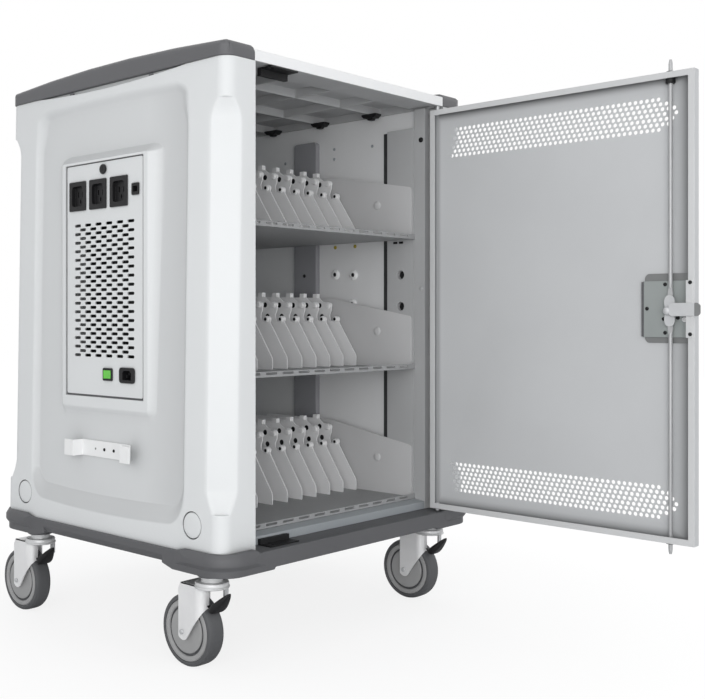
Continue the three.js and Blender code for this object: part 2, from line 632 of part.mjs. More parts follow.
// Latch rods: round bar with a flattened inner end and a tapered outer end
function latchRod(up) {
  const at = (h) => LOCK_Z + up * h;
  const span = (a, b) => [Math.min(a, b), Math.max(a, b)];
  const tip = up > 0 ? ROD_ENDS[1] : ROD_ENDS[0];
  const shoulder = tip - up * 8;
  const [bar0, bar1] = span(at(60), shoulder);
  let body = roundZ(ROD_X, ROD_Y, bar0, bar1, ROD_R);
  const [tip0, tip1] = span(shoulder - up * 0.5, tip);
  body = body.add(roundZ(ROD_X, ROD_Y, tip0, tip1, up > 0 ? ROD_R : 2.2, up > 0 ? 2.2 : ROD_R));
  const flat = outline([[-6, 25], [-4, 23], [4, 23], [6, 25], [6, 33], [3.8, 38], [3.8, 64], [-3.8, 64],
    [-3.8, 38], [-6, 33]].map(([y, h]) => [ROD_Y + y, at(h)]));
  return body.add(alongX(flat, ROD_X - 1.5, ROD_X + 1.5));
}

piece('upper_latch_rod', latchRod(1), ZINC);
piece('lower_latch_rod', latchRod(-1), ZINC);

// Latch cam: spindle through the door, oval cam over the rod eyes, and a tongue past the free edge
function latchCam() {
  const cam = rounded(ROD_Y - 11, ROD_Y + 11, LOCK_Z - 31, LOCK_Z + 31, 10.9);
  let body = alongX(cam, 253.6, 256.6);
  body = body.add(roundX(ROD_Y, LOCK_Z, 256, 279, 5));
  body = body.add(roundX(ROD_Y, LOCK_Z, 240.6, 254, 9));
  const tongue = outline([[8, -10.5], [8, 10.5], [-53, 10.5], [-58, 6], [-58, -6], [-53, -10.5]]
    .map(([y, z]) => [ROD_Y + y, LOCK_Z + z]));
  return body.add(alongX(tongue, 240.6, 243.6));
}

piece('latch_cam', latchCam(), ZINC);

// Turn handle on the outer face of the door
let handle = roundX(ROD_Y, LOCK_Z, 271.1, 281, 22, 16);
const lever = rounded(ROD_Y - 10, ROD_Y + 10, LOCK_Z - 105, LOCK_Z + 14, 9);
handle = handle.add(alongX(lever, 278, 290));
handle = handle.subtract(roundX(ROD_Y, LOCK_Z, 265, 279.5, 5.3));
piece('door_handle', handle, DARK);

// Latch receivers under the top panel and on the base, each with a stop behind the closed door
const catchX = DOOR_SKIN_X - 495.2;
const catchY = BODY_FRONT + 12;
let upperCatch = block(-234, -166, -319, -285, 1030, PANEL_TOP_Z);
upperCatch = upperCatch.add(block(-234, -166, -294, -285, 1019, PANEL_TOP_Z));
upperCatch = upperCatch.subtract(roundZ(catchX, catchY, 1020, 1040, 6));
piece('upper_latch_catch', upperCatch, BLACK);
let lowerCatch = block(-234, -162, -318, -286.5, DECK_Z + GAP, DECK_Z + 2.3);
lowerCatch = lowerCatch.add(block(-234, -162, -294, -286.5, DECK_Z + GAP, 217));
lowerCatch = lowerCatch.subtract(roundZ(catchX, catchY, 200, 212, 6));
piece('lower_latch_catch', lowerCatch, BLACK);

// Caster: stem fork with a round swivel head, wheel with a moulded tread, axle bolt and brake pedal
function casterFork(x, y) {
  const cheek = outline([[-22, 149], [-20, 125], [-4, 101], [20, 76], [35, 55], [40, 50], [46, 48], [53, 50],
    [58, 56], [58, 72], [52, 149]].map(([a, z]) => [y + a, z]));
  let body = alongX(cheek, x + CHEEK_X[0], x + CHEEK_X[1]);
  body = body.add(alongX(cheek, x - CHEEK_X[1], x - CHEEK_X[0]));
  body = body.add(block(x - CHEEK_X[1], x + CHEEK_X[1], y - 8, y + 52, 143, 149));
  body = body.add(roundZ(x, y, 141, 149, 31, 34));
  body = body.add(roundZ(x, y, 148, 190, 15));
  body = body.subtract(roundX(y + TRAIL, WHEEL_R, x - 40, x + 40, 6 + GAP, 8));
  return body.subtract(roundX(y + PEDAL_PIN[0], PEDAL_PIN[1], x - 40, x + 40, 3 + GAP, 8));
}

function casterWheel(x, y) {
  const tread = WHEEL_R / Math.cos(Math.PI / WHEEL_SIDES);
  const half = [[6.3, 18], [16, 18], [16.5, 12], [41, 12], [57, 18], [tread, 13]];
  const section = half.concat(half.slice().reverse().map(([r, a]) => [r, -a]));
  section.push(half[0]);
  const geometry = new THREE.LatheGeometry(
    section.map(([r, a]) => new THREE.Vector2(r, a)),
    WHEEL_SIDES,
    Math.PI / WHEEL_SIDES,
  );
  geometry.rotateZ(-Math.PI / 2);
  geometry.translate(x, y + TRAIL, WHEEL_R);
  return solid(geometry);
}

function casterAxle(x, y) {
  let body = roundX(y + TRAIL, WHEEL_R, x - 28, x + 28, 6, 8);
  body = body.add(roundX(y + TRAIL, WHEEL_R, x - 29, x - CHEEK_X[1] - GAP, 8.5, 6));
  return body.add(roundX(y + TRAIL, WHEEL_R, x + CHEEK_X[1] + GAP, x + 29, 8.5, 6));
}

// The pedal bends over the tread between the cheeks.
function casterPedal(x, y) {
  const pad = outline([[23, 125], [26, 130], [20, 133], [10, 127], [-2, 121], [-12, 122], [-24, 130],
    [-30, 131], [-31, 127], [-20, 115], [-13, 106], [-8.2, 99], [-3.3, 105.6], [4.9, 113.8], [14.5, 120.5]]
    .map(([a, z]) => [y + a, z]));
  const body = alongX(pad, x - 21, x + 21);
  return body.add(roundX(y + PEDAL_PIN[0], PEDAL_PIN[1], x - 25, x + 25, 3, 8));
}

for (const [end, y] of [['front', -CASTER_Y], ['rear', CASTER_Y]]) {
  for (const [side, x] of [['left', -CASTER_X], ['right', CASTER_X]]) {
    piece(`${end}_${side}_fork`, casterFork(x, y), ZINC);
    piece(`${end}_${side}_wheel`, casterWheel(x, y), TYRE);
    piece(`${end}_${side}_axle`, casterAxle(x, y), ZINC);
    piece(`${end}_${side}_pedal`, casterPedal(x, y), BLACK);
  }
}

export default cart;
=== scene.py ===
import json
import math

import bmesh
import bpy
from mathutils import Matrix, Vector

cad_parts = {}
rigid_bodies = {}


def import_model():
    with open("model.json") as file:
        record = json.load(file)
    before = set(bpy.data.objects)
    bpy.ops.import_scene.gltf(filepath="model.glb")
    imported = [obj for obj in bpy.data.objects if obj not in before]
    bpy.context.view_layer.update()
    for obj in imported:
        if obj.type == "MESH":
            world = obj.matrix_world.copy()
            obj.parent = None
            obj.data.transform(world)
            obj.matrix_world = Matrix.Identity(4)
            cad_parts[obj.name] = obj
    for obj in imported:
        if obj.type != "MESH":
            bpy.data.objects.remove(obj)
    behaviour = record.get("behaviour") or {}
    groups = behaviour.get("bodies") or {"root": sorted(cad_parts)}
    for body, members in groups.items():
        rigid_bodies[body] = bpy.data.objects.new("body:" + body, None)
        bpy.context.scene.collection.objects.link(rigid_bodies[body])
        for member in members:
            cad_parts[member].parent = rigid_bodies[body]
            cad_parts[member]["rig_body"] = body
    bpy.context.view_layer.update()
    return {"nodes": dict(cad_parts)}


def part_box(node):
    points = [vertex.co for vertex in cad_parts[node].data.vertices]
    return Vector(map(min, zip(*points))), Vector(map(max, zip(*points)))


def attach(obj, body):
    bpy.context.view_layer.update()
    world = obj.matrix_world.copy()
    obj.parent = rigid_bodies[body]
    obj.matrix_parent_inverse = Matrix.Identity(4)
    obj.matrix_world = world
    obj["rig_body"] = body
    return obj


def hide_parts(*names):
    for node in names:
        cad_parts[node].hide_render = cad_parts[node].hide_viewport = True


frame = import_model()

# The studio: a level camera at the photograph's place, a pale floor that runs out into the white
# backdrop, and large soft lamps that show a colour about as it is written.
scene = bpy.context.scene
scene.view_settings.view_transform = "Standard"


def add_node(tree, kind, inputs=None, **options):
    made = tree.nodes.new(kind)
    for name, value in options.items():
        setattr(made, name, value)
    for name, value in (inputs or {}).items():
        if isinstance(value, bpy.types.NodeSocket):
            tree.links.new(value, made.inputs[name])
        else:
            made.inputs[name].default_value = value
    return made


def blank_material(name):
    material = bpy.data.materials.new(name)
    material.use_nodes = True
    material.node_tree.nodes.clear()
    return material, material.node_tree


lens = bpy.data.cameras.new("camera")
lens.sensor_width = 36.0
lens.lens = 54.24
lens.shift_x = 0.1255
lens.shift_y = -0.0454
lens.clip_end = 60.0
camera = bpy.data.objects.new("camera", lens)
camera.location = (-1.544, -1.579, 0.6005)
camera.rotation_euler = (math.pi / 2, 0.0, -math.atan2(0.7159, 0.6982))
scene.collection.objects.link(camera)
scene.camera = camera

world = bpy.data.worlds.new("studio_air")
world.use_nodes = True
scene.world = world
air = world.node_tree
air.nodes.clear()
rays = add_node(air, "ShaderNodeLightPath")
sees_white = add_node(air, "ShaderNodeMath", {0: rays.outputs["Is Camera Ray"], 1: rays.outputs["Is Glossy Ray"]},
                      operation="MAXIMUM")
sees_white = add_node(air, "ShaderNodeMath", {0: sees_white.outputs[0], 1: rays.outputs["Is Transmission Ray"]},
                      operation="MAXIMUM")
soft_air = add_node(air, "ShaderNodeBackground", {"Color": (0.97, 0.985, 1.0, 1.0), "Strength": 0.47})
white_air = add_node(air, "ShaderNodeBackground", {"Color": (1.0, 1.0, 1.0, 1.0), "Strength": 1.0})
air_mix = add_node(air, "ShaderNodeMixShader",
                   {0: sees_white.outputs[0], 1: soft_air.outputs[0], 2: white_air.outputs[0]})
add_node(air, "ShaderNodeOutputWorld", {"Surface": air_mix.outputs[0]})

floor_finish, tree = blank_material("studio_floor")
rays = add_node(tree, "ShaderNodeLightPath")
place = add_node(tree, "ShaderNodeTexCoord")
reach = add_node(tree, "ShaderNodeVectorMath", {0: place.outputs["Object"]}, operation="LENGTH")
fade = add_node(tree, "ShaderNodeMapRange", {"Value": reach.outputs["Value"], "From Min": 0.4, "From Max": 1.1,
                                             "To Min": 0.8, "To Max": 1.0})
paper = add_node(tree, "ShaderNodeBsdfDiffuse", {"Color": (0.86, 0.86, 0.865, 1.0), "Roughness": 0.6})
white = add_node(tree, "ShaderNodeEmission", {"Color": (1.0, 1.0, 1.0, 1.0), "Strength": 1.02})
seen = add_node(tree, "ShaderNodeMixShader", {0: fade.outputs[0], 1: paper.outputs[0], 2: white.outputs[0]})
ground = add_node(tree, "ShaderNodeMixShader",
                  {0: rays.outputs["Is Camera Ray"], 1: paper.outputs[0], 2: seen.outputs[0]})
add_node(tree, "ShaderNodeOutputMaterial", {"Surface": ground.outputs[0]})

bm = bmesh.new()
bmesh.ops.create_grid(bm, x_segments=8, y_segments=8, size=9.0)
floor_mesh = bpy.data.meshes.new("studio_floor")
bm.to_mesh(floor_mesh)
bm.free()
floor_mesh.materials.append(floor_finish)
floor = bpy.data.objects.new("studio_floor", floor_mesh)
scene.collection.objects.link(floor)

for lamp_name, stands, aims, width, watts in (
    ("key_lamp", (-3.5, -1.75, 1.35), (0.0, -0.1, 0.55), 2.4, 28.5),
    ("fill_lamp", (-1.75, -2.45, 0.9), (0.1, 0.0, 0.6), 1.3, 12.0),
    ("low_lamp", (-2.5, -2.4, 0.4), (0.0, -0.1, 0.3), 1.6, 16.0),
    ("front_lamp", (-0.1, -4.2, 0.6), (0.0, 0.0, 0.6), 1.8, 15.0),
    ("top_lamp", (0.0, -0.2, 4.6), (0.0, 0.0, 0.0), 3.0, 18.0),
    ("back_lamp", (1.6, 3.4, 2.2), (0.0, 0.0, 0.6), 2.4, 26.0),
    ("right_lamp", (3.6, -0.4, 1.8), (0.0, 0.0, 0.6), 2.2, 18.0),
):
    lamp = bpy.data.lights.new(lamp_name, "AREA")
    lamp.shape = "DISK"
    lamp.size = width
    lamp.energy = watts
    stand = bpy.data.objects.new(lamp_name, lamp)
    stand.location = stands
    stand.rotation_euler = (Vector(aims) - Vector(stands)).to_track_quat("-Z", "Y").to_euler()
    scene.collection.objects.link(stand)


# Casters: a zinc-plated pressed fork turns on a stem in the base, with a grey moulded tyre on a
# paler hub, a plated axle riveted over at both ends, and a black nylon brake pedal.
MM = 0.001


def at(x, y, z):
    return Vector((x * MM, y * MM, z * MM))


def grain_group():
    group = bpy.data.node_groups.new("surface_grain", "ShaderNodeTree")
    group.interface.new_socket("Grain scale", in_out="INPUT", socket_type="NodeSocketFloat")
    group.interface.new_socket("Patch scale", in_out="INPUT", socket_type="NodeSocketFloat")
    group.interface.new_socket("Height", in_out="OUTPUT", socket_type="NodeSocketFloat")
    group.interface.new_socket("Patches", in_out="OUTPUT", socket_type="NodeSocketFloat")
    given = group.nodes.new("NodeGroupInput")
    place = add_node(group, "ShaderNodeTexCoord")
    fine = add_node(group, "ShaderNodeTexNoise", {"Vector": place.outputs["Object"],
                                                  "Scale": given.outputs["Grain scale"], "Detail": 3.0})
    cells = add_node(group, "ShaderNodeTexVoronoi", {"Vector": place.outputs["Object"],
                                                     "Scale": given.outputs["Grain scale"]})
    height = add_node(group, "ShaderNodeMath", {0: fine.outputs[0], 1: cells.outputs["Distance"]},
                      operation="ADD")
    patches = add_node(group, "ShaderNodeTexNoise", {"Vector": place.outputs["Object"],
                                                     "Scale": given.outputs["Patch scale"], "Detail": 5.0})
    result = group.nodes.new("NodeGroupOutput")
    group.links.new(height.outputs[0], result.inputs["Height"])
    group.links.new(patches.outputs[0], result.inputs["Patches"])
    return group


def wear_group():
    group = bpy.data.node_groups.new("edge_wear", "ShaderNodeTree")
    group.interface.new_socket("Edge width", in_out="INPUT", socket_type="NodeSocketFloat")
    group.interface.new_socket("Mask", in_out="OUTPUT", socket_type="NodeSocketFloat")
    given = group.nodes.new("NodeGroupInput")
    rounded_edge = add_node(group, "ShaderNodeBevel", {"Radius": given.outputs["Edge width"]}, samples=4)
    surface = add_node(group, "ShaderNodeNewGeometry")
    bend = add_node(group, "ShaderNodeVectorMath", {0: rounded_edge.outputs[0], 1: surface.outputs["Normal"]},
                    operation="DOT_PRODUCT")
    edge = add_node(group, "ShaderNodeMapRange", {"Value": bend.outputs["Value"], "From Min": 0.985,
                                                  "From Max": 0.86})
    place = add_node(group, "ShaderNodeTexCoord")
    rubs = add_node(group, "ShaderNodeTexNoise", {"Vector": place.outputs["Object"], "Scale": 34.0, "Detail": 6.0})
    broken = add_node(group, "ShaderNodeMapRange", {"Value": rubs.outputs[0], "From Min": 0.42, "From Max": 0.66})
    mask = add_node(group, "ShaderNodeMath", {0: edge.outputs[0], 1: broken.outputs[0]}, operation="MULTIPLY")
    result = group.nodes.new("NodeGroupOutput")
    group.links.new(mask.outputs[0], result.inputs["Mask"])
    return group


# Painted shade: an ambient-occlusion mask that grows in hollows, corners and creases, where shade falls.
def hollow_shade_group():
    group = bpy.data.node_groups.new("painted_hollow_shade", "ShaderNodeTree")
    group.interface.new_socket("Reach", in_out="INPUT", socket_type="NodeSocketFloat")
    group.interface.new_socket("Mask", in_out="OUTPUT", socket_type="NodeSocketFloat")
    given = group.nodes.new("NodeGroupInput")
    open_sky = add_node(group, "ShaderNodeAmbientOcclusion", {"Distance": given.outputs["Reach"]}, samples=6)
    mask = add_node(group, "ShaderNodeMapRange", {"Value": open_sky.outputs["AO"], "From Min": 0.96, "From Max": 0.5})
    result = group.nodes.new("NodeGroupOutput")
    group.links.new(mask.outputs[0], result.inputs["Mask"])
    return group


HOLLOW_SHADE = hollow_shade_group()
SURFACE_GRAIN = grain_group()
EDGE_WEAR = wear_group()


def finish(name, colour, shade, rough, grain, bump, worn, metal=0.0, patch=7.0, edge=0.0014, gleam=0.5, shade_reach=0.0,
           shade_factor=0.62):
    """A moulded, painted or plated finish: tone patches, grain, rubbed edges, painted shade in hollows, uneven gloss.
    """
    material, tree = blank_material(name)
    skin = add_node(tree, "ShaderNodeGroup", node_tree=SURFACE_GRAIN)
    skin.inputs["Grain scale"].default_value = grain
    skin.inputs["Patch scale"].default_value = patch
    rub = add_node(tree, "ShaderNodeGroup", node_tree=EDGE_WEAR)
    rub.inputs["Edge width"].default_value = edge
    patches = add_node(tree, "ShaderNodeMapRange", {"Value": skin.outputs["Patches"], "From Min": 0.3,
                                                    "From Max": 0.7})
    tone = add_node(tree, "ShaderNodeMix", {0: patches.outputs[0], 6: (*shade, 1.0), 7: (*colour, 1.0)},
                    data_type="RGBA")
    rubbed = add_node(tree, "ShaderNodeMix", {0: rub.outputs["Mask"], 6: tone.outputs[2], 7: (*worn, 1.0)},
                      data_type="RGBA")
    # Painted shade: inside hollows the tone darkens towards a darker share of the shade colour.
    if shade_reach:
        sunk = add_node(tree, "ShaderNodeGroup", node_tree=HOLLOW_SHADE)
        sunk.inputs["Reach"].default_value = shade_reach
        hollow_shade_tone = tuple(shade_factor * part for part in shade)
        rubbed = add_node(tree, "ShaderNodeMix", {0: sunk.outputs["Mask"], 6: rubbed.outputs[2], 7: (*hollow_shade_tone, 1.0)},
                          data_type="RGBA")
    gloss = add_node(tree, "ShaderNodeMapRange", {"Value": skin.outputs["Patches"], "From Min": 0.25,
                                                  "From Max": 0.75, "To Min": rough - 0.06, "To Max": rough + 0.06})
    relief = add_node(tree, "ShaderNodeBump", {"Height": skin.outputs["Height"], "Strength": bump,
                                               "Distance": 0.0006})
    shader = add_node(tree, "ShaderNodeBsdfPrincipled", {"Base Color": rubbed.outputs[2],
                                                         "Roughness": gloss.outputs[0], "Metallic": metal,
                                                         "Specular IOR Level": gleam,
                                                         "Normal": relief.outputs[0]})
    add_node(tree, "ShaderNodeOutputMaterial", {"Surface": shader.outputs[0]})
    return material


def shown(name, mesh, body, *stands_for):
    """Puts a finished mesh in the scene on its body, for the nodes it stands for."""
    piece = bpy.data.objects.new(name, mesh)
    scene.collection.objects.link(piece)
    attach(piece, body)
    if stands_for:
        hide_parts(*stands_for)
    return piece


def closed_mesh(name, bm, material, crease=32.0):
    bmesh.ops.remove_doubles(bm, verts=bm.verts, dist=1e-6)
    bmesh.ops.recalc_face_normals(bm, faces=bm.faces)
    mesh = bpy.data.meshes.new(name)
    bm.to_mesh(mesh)
    bm.free()
    mesh.shade_smooth()
    mesh.set_sharp_from_angle(angle=math.radians(crease))
    mesh.materials.append(material)
    return mesh


def evaluated(host):
    """The plain mesh of an object with its modifiers, after which the object is dropped."""
    bpy.context.view_layer.update()
    graph = bpy.context.evaluated_depsgraph_get()
    mesh = bpy.data.meshes.new_from_object(host.evaluated_get(graph), preserve_all_data_layers=True, depsgraph=graph)
    bpy.data.objects.remove(host)
    return mesh


def rounded_mesh(name, bm, width, material, steps=2):
    """A closed mesh with its sharp edges rounded over and its flat faces shaded flat."""
    bmesh.ops.dissolve_limit(bm, angle_limit=math.radians(1.0), verts=bm.verts, edges=bm.edges)
    mesh = bpy.data.meshes.new(name)
    bm.to_mesh(mesh)
    bm.free()
    mesh.shade_smooth()
    host = bpy.data.objects.new(name, mesh)
    scene.collection.objects.link(host)
    rounding = host.modifiers.new("rounding", "BEVEL")
    rounding.width = width * MM
    rounding.segments = steps
    rounding.limit_method = "ANGLE"
    rounding.angle_limit = math.radians(32)
    rounding.use_clamp_overlap = False
    flats = host.modifiers.new("flats", "WEIGHTED_NORMAL")
    flats.weight = 100
    made = evaluated(host)
    made.materials.clear()
    made.materials.append(material)
    return made


def softened_mesh(node, width, material, steps=2):
    """A merged copy of a CAD node with its sharp edges rounded over."""
    bm = bmesh.new()
    bm.from_mesh(frame["nodes"][node].data)
    bmesh.ops.remove_doubles(bm, verts=bm.verts, dist=3e-6)
    return rounded_mesh(node + "_soft", bm, width, material, steps)


def softened(node, width, material, steps=2):
    return shown(node + "_body", softened_mesh(node, width, material, steps), frame["nodes"][node]["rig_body"], node)


def turned(bm, section, centre, axis, sides, closed=True):
    """A turned solid: a section of (radius, distance along the axis) points swept round the axis."""
    along = Vector(axis).normalized()
    first = along.orthogonal().normalized()
    second = along.cross(first)
    rings = []
    for k in range(sides):
        turn = 2 * math.pi * k / sides
        out = first * math.cos(turn) + second * math.sin(turn)
        rings.append([bm.verts.new(centre + out * (r * MM) + along * (a * MM)) for r, a in section])
    for k in range(sides):
        here, there = rings[k], rings[(k + 1) % sides]
        for j in range(len(section) if closed else len(section) - 1):
            n = (j + 1) % len(section)
            bm.faces.new((here[j], here[n], there[n], there[j]))


def eased(points, reach, steps=4):
    """An outline with its corners rounded, each by at most the given reach."""
    made = []
    for i, (u, v) in enumerate(points):
        ends = []
        for near in (points[i - 1], points[(i + 1) % len(points)]):
            length = math.hypot(near[0] - u, near[1] - v)
            share = min(reach, 0.45 * length) / length
            ends.append((u + (near[0] - u) * share, v + (near[1] - v) * share))
        for k in range(steps + 1):
            t = k / steps
            made.append(tuple((1 - t) ** 2 * ends[0][n] + 2 * t * (1 - t) * (u, v)[n] + t * t * ends[1][n]
                              for n in (0, 1)))
    return made


def round_hole(u, v, radius, sides=12):
    return [(u + radius * math.cos(2 * math.pi * k / sides), v + radius * math.sin(2 * math.pi * k / sides))
            for k in range(sides)]


def cut_sheet(bm, outline, holes, place):
    """A flat sheet cut to an outline with holes; place(u, v, face) is a point on face 0 or 1."""
    faces = []
    for face in (0, 1):
        loops = [[bm.verts.new(place(u, v, face)) for u, v in loop] for loop in (outline, *holes)]
        edges = [bm.edges.new((loop[i], loop[(i + 1) % len(loop)])) for loop in loops for i in range(len(loop))]
        bmesh.ops.triangle_fill(bm, use_beauty=True, edges=edges)
        faces.append(loops)
    for near, far in zip(*faces):
        for i in range(len(near)):
            j = (i + 1) % len(near)
            bm.faces.new((near[i], near[j], far[j], far[i]))


def bright_zinc():
    """Bright zinc plate with a painted reflection: light where it faces the view, darkened where the surface turns
    away.
    """
    material = finish("bright_zinc", (0.9, 0.9, 0.9), (0.84, 0.84, 0.845), 0.36, 420.0, 0.04,
                      (0.93, 0.93, 0.93), metal=0.2, patch=22.0, edge=0.001)
    tree = material.node_tree
    shader = next(node for node in tree.nodes if node.type == "BSDF_PRINCIPLED")
    tone = shader.inputs["Base Color"].links[0].from_socket
    # Painted reflection: the colour darkens where the surface turns away from the view.
    turned_away = add_node(tree, "ShaderNodeLayerWeight", {"Blend": 0.45})
    rim = add_node(tree, "ShaderNodeMapRange", {"Value": turned_away.outputs["Facing"], "From Min": 0.45,
                                                "From Max": 0.85})
    seen = add_node(tree, "ShaderNodeMix", {0: rim.outputs[0], 6: tone, 7: (0.2, 0.205, 0.21, 1.0)},
                    data_type="RGBA")
    tree.links.new(seen.outputs[2], shader.inputs["Base Color"])
    return material


def fork_foot(dy):
    """Lower edge of the fork's wall, by distance behind the stem: round the axle, then up to the head."""
    if dy >= 38:
        return 62.5 - math.sqrt(max(0.0, 14.0 ** 2 - (dy - 46.5) ** 2))
    for (a, low), (b, high) in zip(FORK_FRONT, FORK_FRONT[1:]):
        if b <= dy <= a:
            return low + (high - low) * (a - dy) / (a - b)
    return FORK_FRONT[-1][1]


def lofted_horn(bm, x, y):
    """The brake pedal's foot plate: a skin over rounded sections that swell over the tyre and taper to the tip."""
    rows = []
    for dy, low, high, half in HORN:
        row = []
        for step in range(24):
            turn = math.tau * step / 24
            across = math.copysign(abs(math.cos(turn)) ** 0.55, math.cos(turn))
            up = math.copysign(abs(math.sin(turn)) ** 0.55, math.sin(turn))
            row.append(bm.verts.new(at(x + half * across, y + dy, 0.5 * (low + high) + 0.5 * (high - low) * up)))
        rows.append(row)
    for one, two in zip(rows, rows[1:]):
        for i in range(24):
            bm.faces.new((one[i - 1], one[i], two[i], two[i - 1]))
    bm.faces.new(rows[0])
    bm.faces.new(rows[-1][::-1])


def fork_wall(bm, x, y, path):
    """A pressed upright wall along a path, with its lower edge cut back from the wheel."""
    rings = []
    for k, (dx, dy) in enumerate(path):
        before, after = path[max(0, k - 1)], path[min(len(path) - 1, k + 1)]
        run = Vector((after[0] - before[0], after[1] - before[1])).normalized()
        inner = (dx - 2.5 * run.y, dy + 2.5 * run.x)
        low = fork_foot(dy)
        high = 147.5 if dy <= 51 else 147.5 - (dy - 51) * 1.5
        rings.append([bm.verts.new(at(x + dx, y + dy, low)), bm.verts.new(at(x + dx, y + dy, high)),
                      bm.verts.new(at(x + inner[0], y + inner[1], high)),
                      bm.verts.new(at(x + inner[0], y + inner[1], low))])
    for here, there in zip(rings, rings[1:]):
        for j in range(4):
            n = (j + 1) % 4
            bm.faces.new((here[j], here[n], there[n], there[j]))
    bm.faces.new(rings[0])
    bm.faces.new(rings[-1])


zinc = finish("zinc_plate", (0.62, 0.63, 0.64), (0.56, 0.57, 0.58), 0.42, 420.0, 0.05,
              (0.72, 0.72, 0.73), metal=0.3, patch=22.0, edge=0.001)
fork_zinc = bright_zinc()
crown_zinc = finish("crown_zinc", (0.72, 0.725, 0.73), (0.66, 0.665, 0.67), 0.4, 420.0, 0.05,
                    (0.8, 0.8, 0.8), metal=0.25, patch=22.0, edge=0.001)
tyre_grey = finish("tyre_grey", (0.105, 0.107, 0.112), (0.088, 0.09, 0.095), 0.62, 900.0, 0.12,
                   (0.15, 0.15, 0.155), patch=16.0)
hub_grey = finish("hub_grey", (0.4, 0.4, 0.4), (0.36, 0.36, 0.36), 0.5, 1100.0, 0.08,
                  (0.45, 0.45, 0.45), patch=16.0)
black_nylon = finish("black_nylon", (0.012, 0.012, 0.013), (0.008, 0.008, 0.009), 0.5, 1000.0, 0.12,
                     (0.035, 0.035, 0.036), patch=18.0, gleam=0.3)

TYRE = [(53.2, -14.6), (53.6, -16.6), (54.8, -17.4), (57.5, -17.2), (60.2, -15.8), (61.7, -13.2), (62.4, -9.5),
        (62.5, -5.0), (62.5, 5.0), (62.4, 9.5), (61.7, 13.2), (60.2, 15.8), (57.5, 17.2), (54.8, 17.4), (53.6, 16.6),
        (53.2, 14.6)]
HUB_SIDE = [(4.3, 17.4), (9.0, 17.4), (10.0, 16.6), (12.0, 16.2), (30.0, 15.9), (37.2, 16.4), (38.6, 16.0), (39.4, 14.6),
            (40.0, 12.4), (42.4, 12.2), (43.2, 14.2), (44.0, 16.2), (45.4, 17.2), (48.5, 17.5), (51.6, 17.0),
            (53.2, 15.0)]
CHEEK = 25.2
FORK_FRONT = [(38, 51.4), (22, 75), (10, 90), (2, 104), (0, 110)]
ROLLED = [(-9.2 + 16.0 * math.cos(math.radians(a)), 17.0 + 16.0 * math.sin(math.radians(a)))
          for a in range(180, 286, 7)]
NEAR_CHEEK = [(-CHEEK, dy) for dy in (58, 57, 56, 54, 52, 50, 48, 46.5, 44, 41, 38, 34, 30, 26, 22, 17.4)] + ROLLED
FAR_CHEEK = [(CHEEK, dy) for dy in (31, 34, 38, 41, 44, 46.5, 48, 50, 52, 54, 56, 57, 58)]
AXLE = [(0.0, -29.0), (3.2, -28.8), (4.6, -27.8), (4.6, -26.4), (4.0, -26.2), (4.0, 26.2), (4.6, 26.4), (4.6, 27.8),
        (3.2, 28.8), (0.0, 29.0)]
HORN = [(-43.8, 135.6, 137.6, 1.6), (-42.8, 133.2, 138.8, 3.6), (-40, 128.8, 137.8, 6.0), (-36, 123.2, 135.0, 8.6),
        (-32, 117.8, 132.2, 10.8), (-28, 112.8, 129.4, 12.6), (-24, 108.2, 126.4, 14.4), (-20, 104.4, 123.4, 15.8),
        (-16, 101.8, 120.2, 16.6), (-12, 100.8, 117.0, 16.4), (-8, 101.6, 113.8, 14.4), (-4, 105.0, 110.9, 10.6),
        (-1, 107.6, 109.6, 7.0)]
PEDAL_ARM = [(25, 126), (24, 131), (19, 133), (10, 127.5), (5, 122), (3.5, 113.6), (-3, 110.6), (-3.4, 107), (4.9, 114.2),
             (14.5, 121.2)]
SWIVEL = [(0.0, 142.6), (28.6, 142.6), (30.2, 143.4), (30.8, 145.0), (30.2, 146.6), (29.4, 147.4), (29.4, 151.4),
          (28.4, 153.2), (26.2, 153.8), (19.0, 154.0), (19.0, 161.4), (15.0, 161.6), (15.0, 189.0), (0.0, 189.0)]
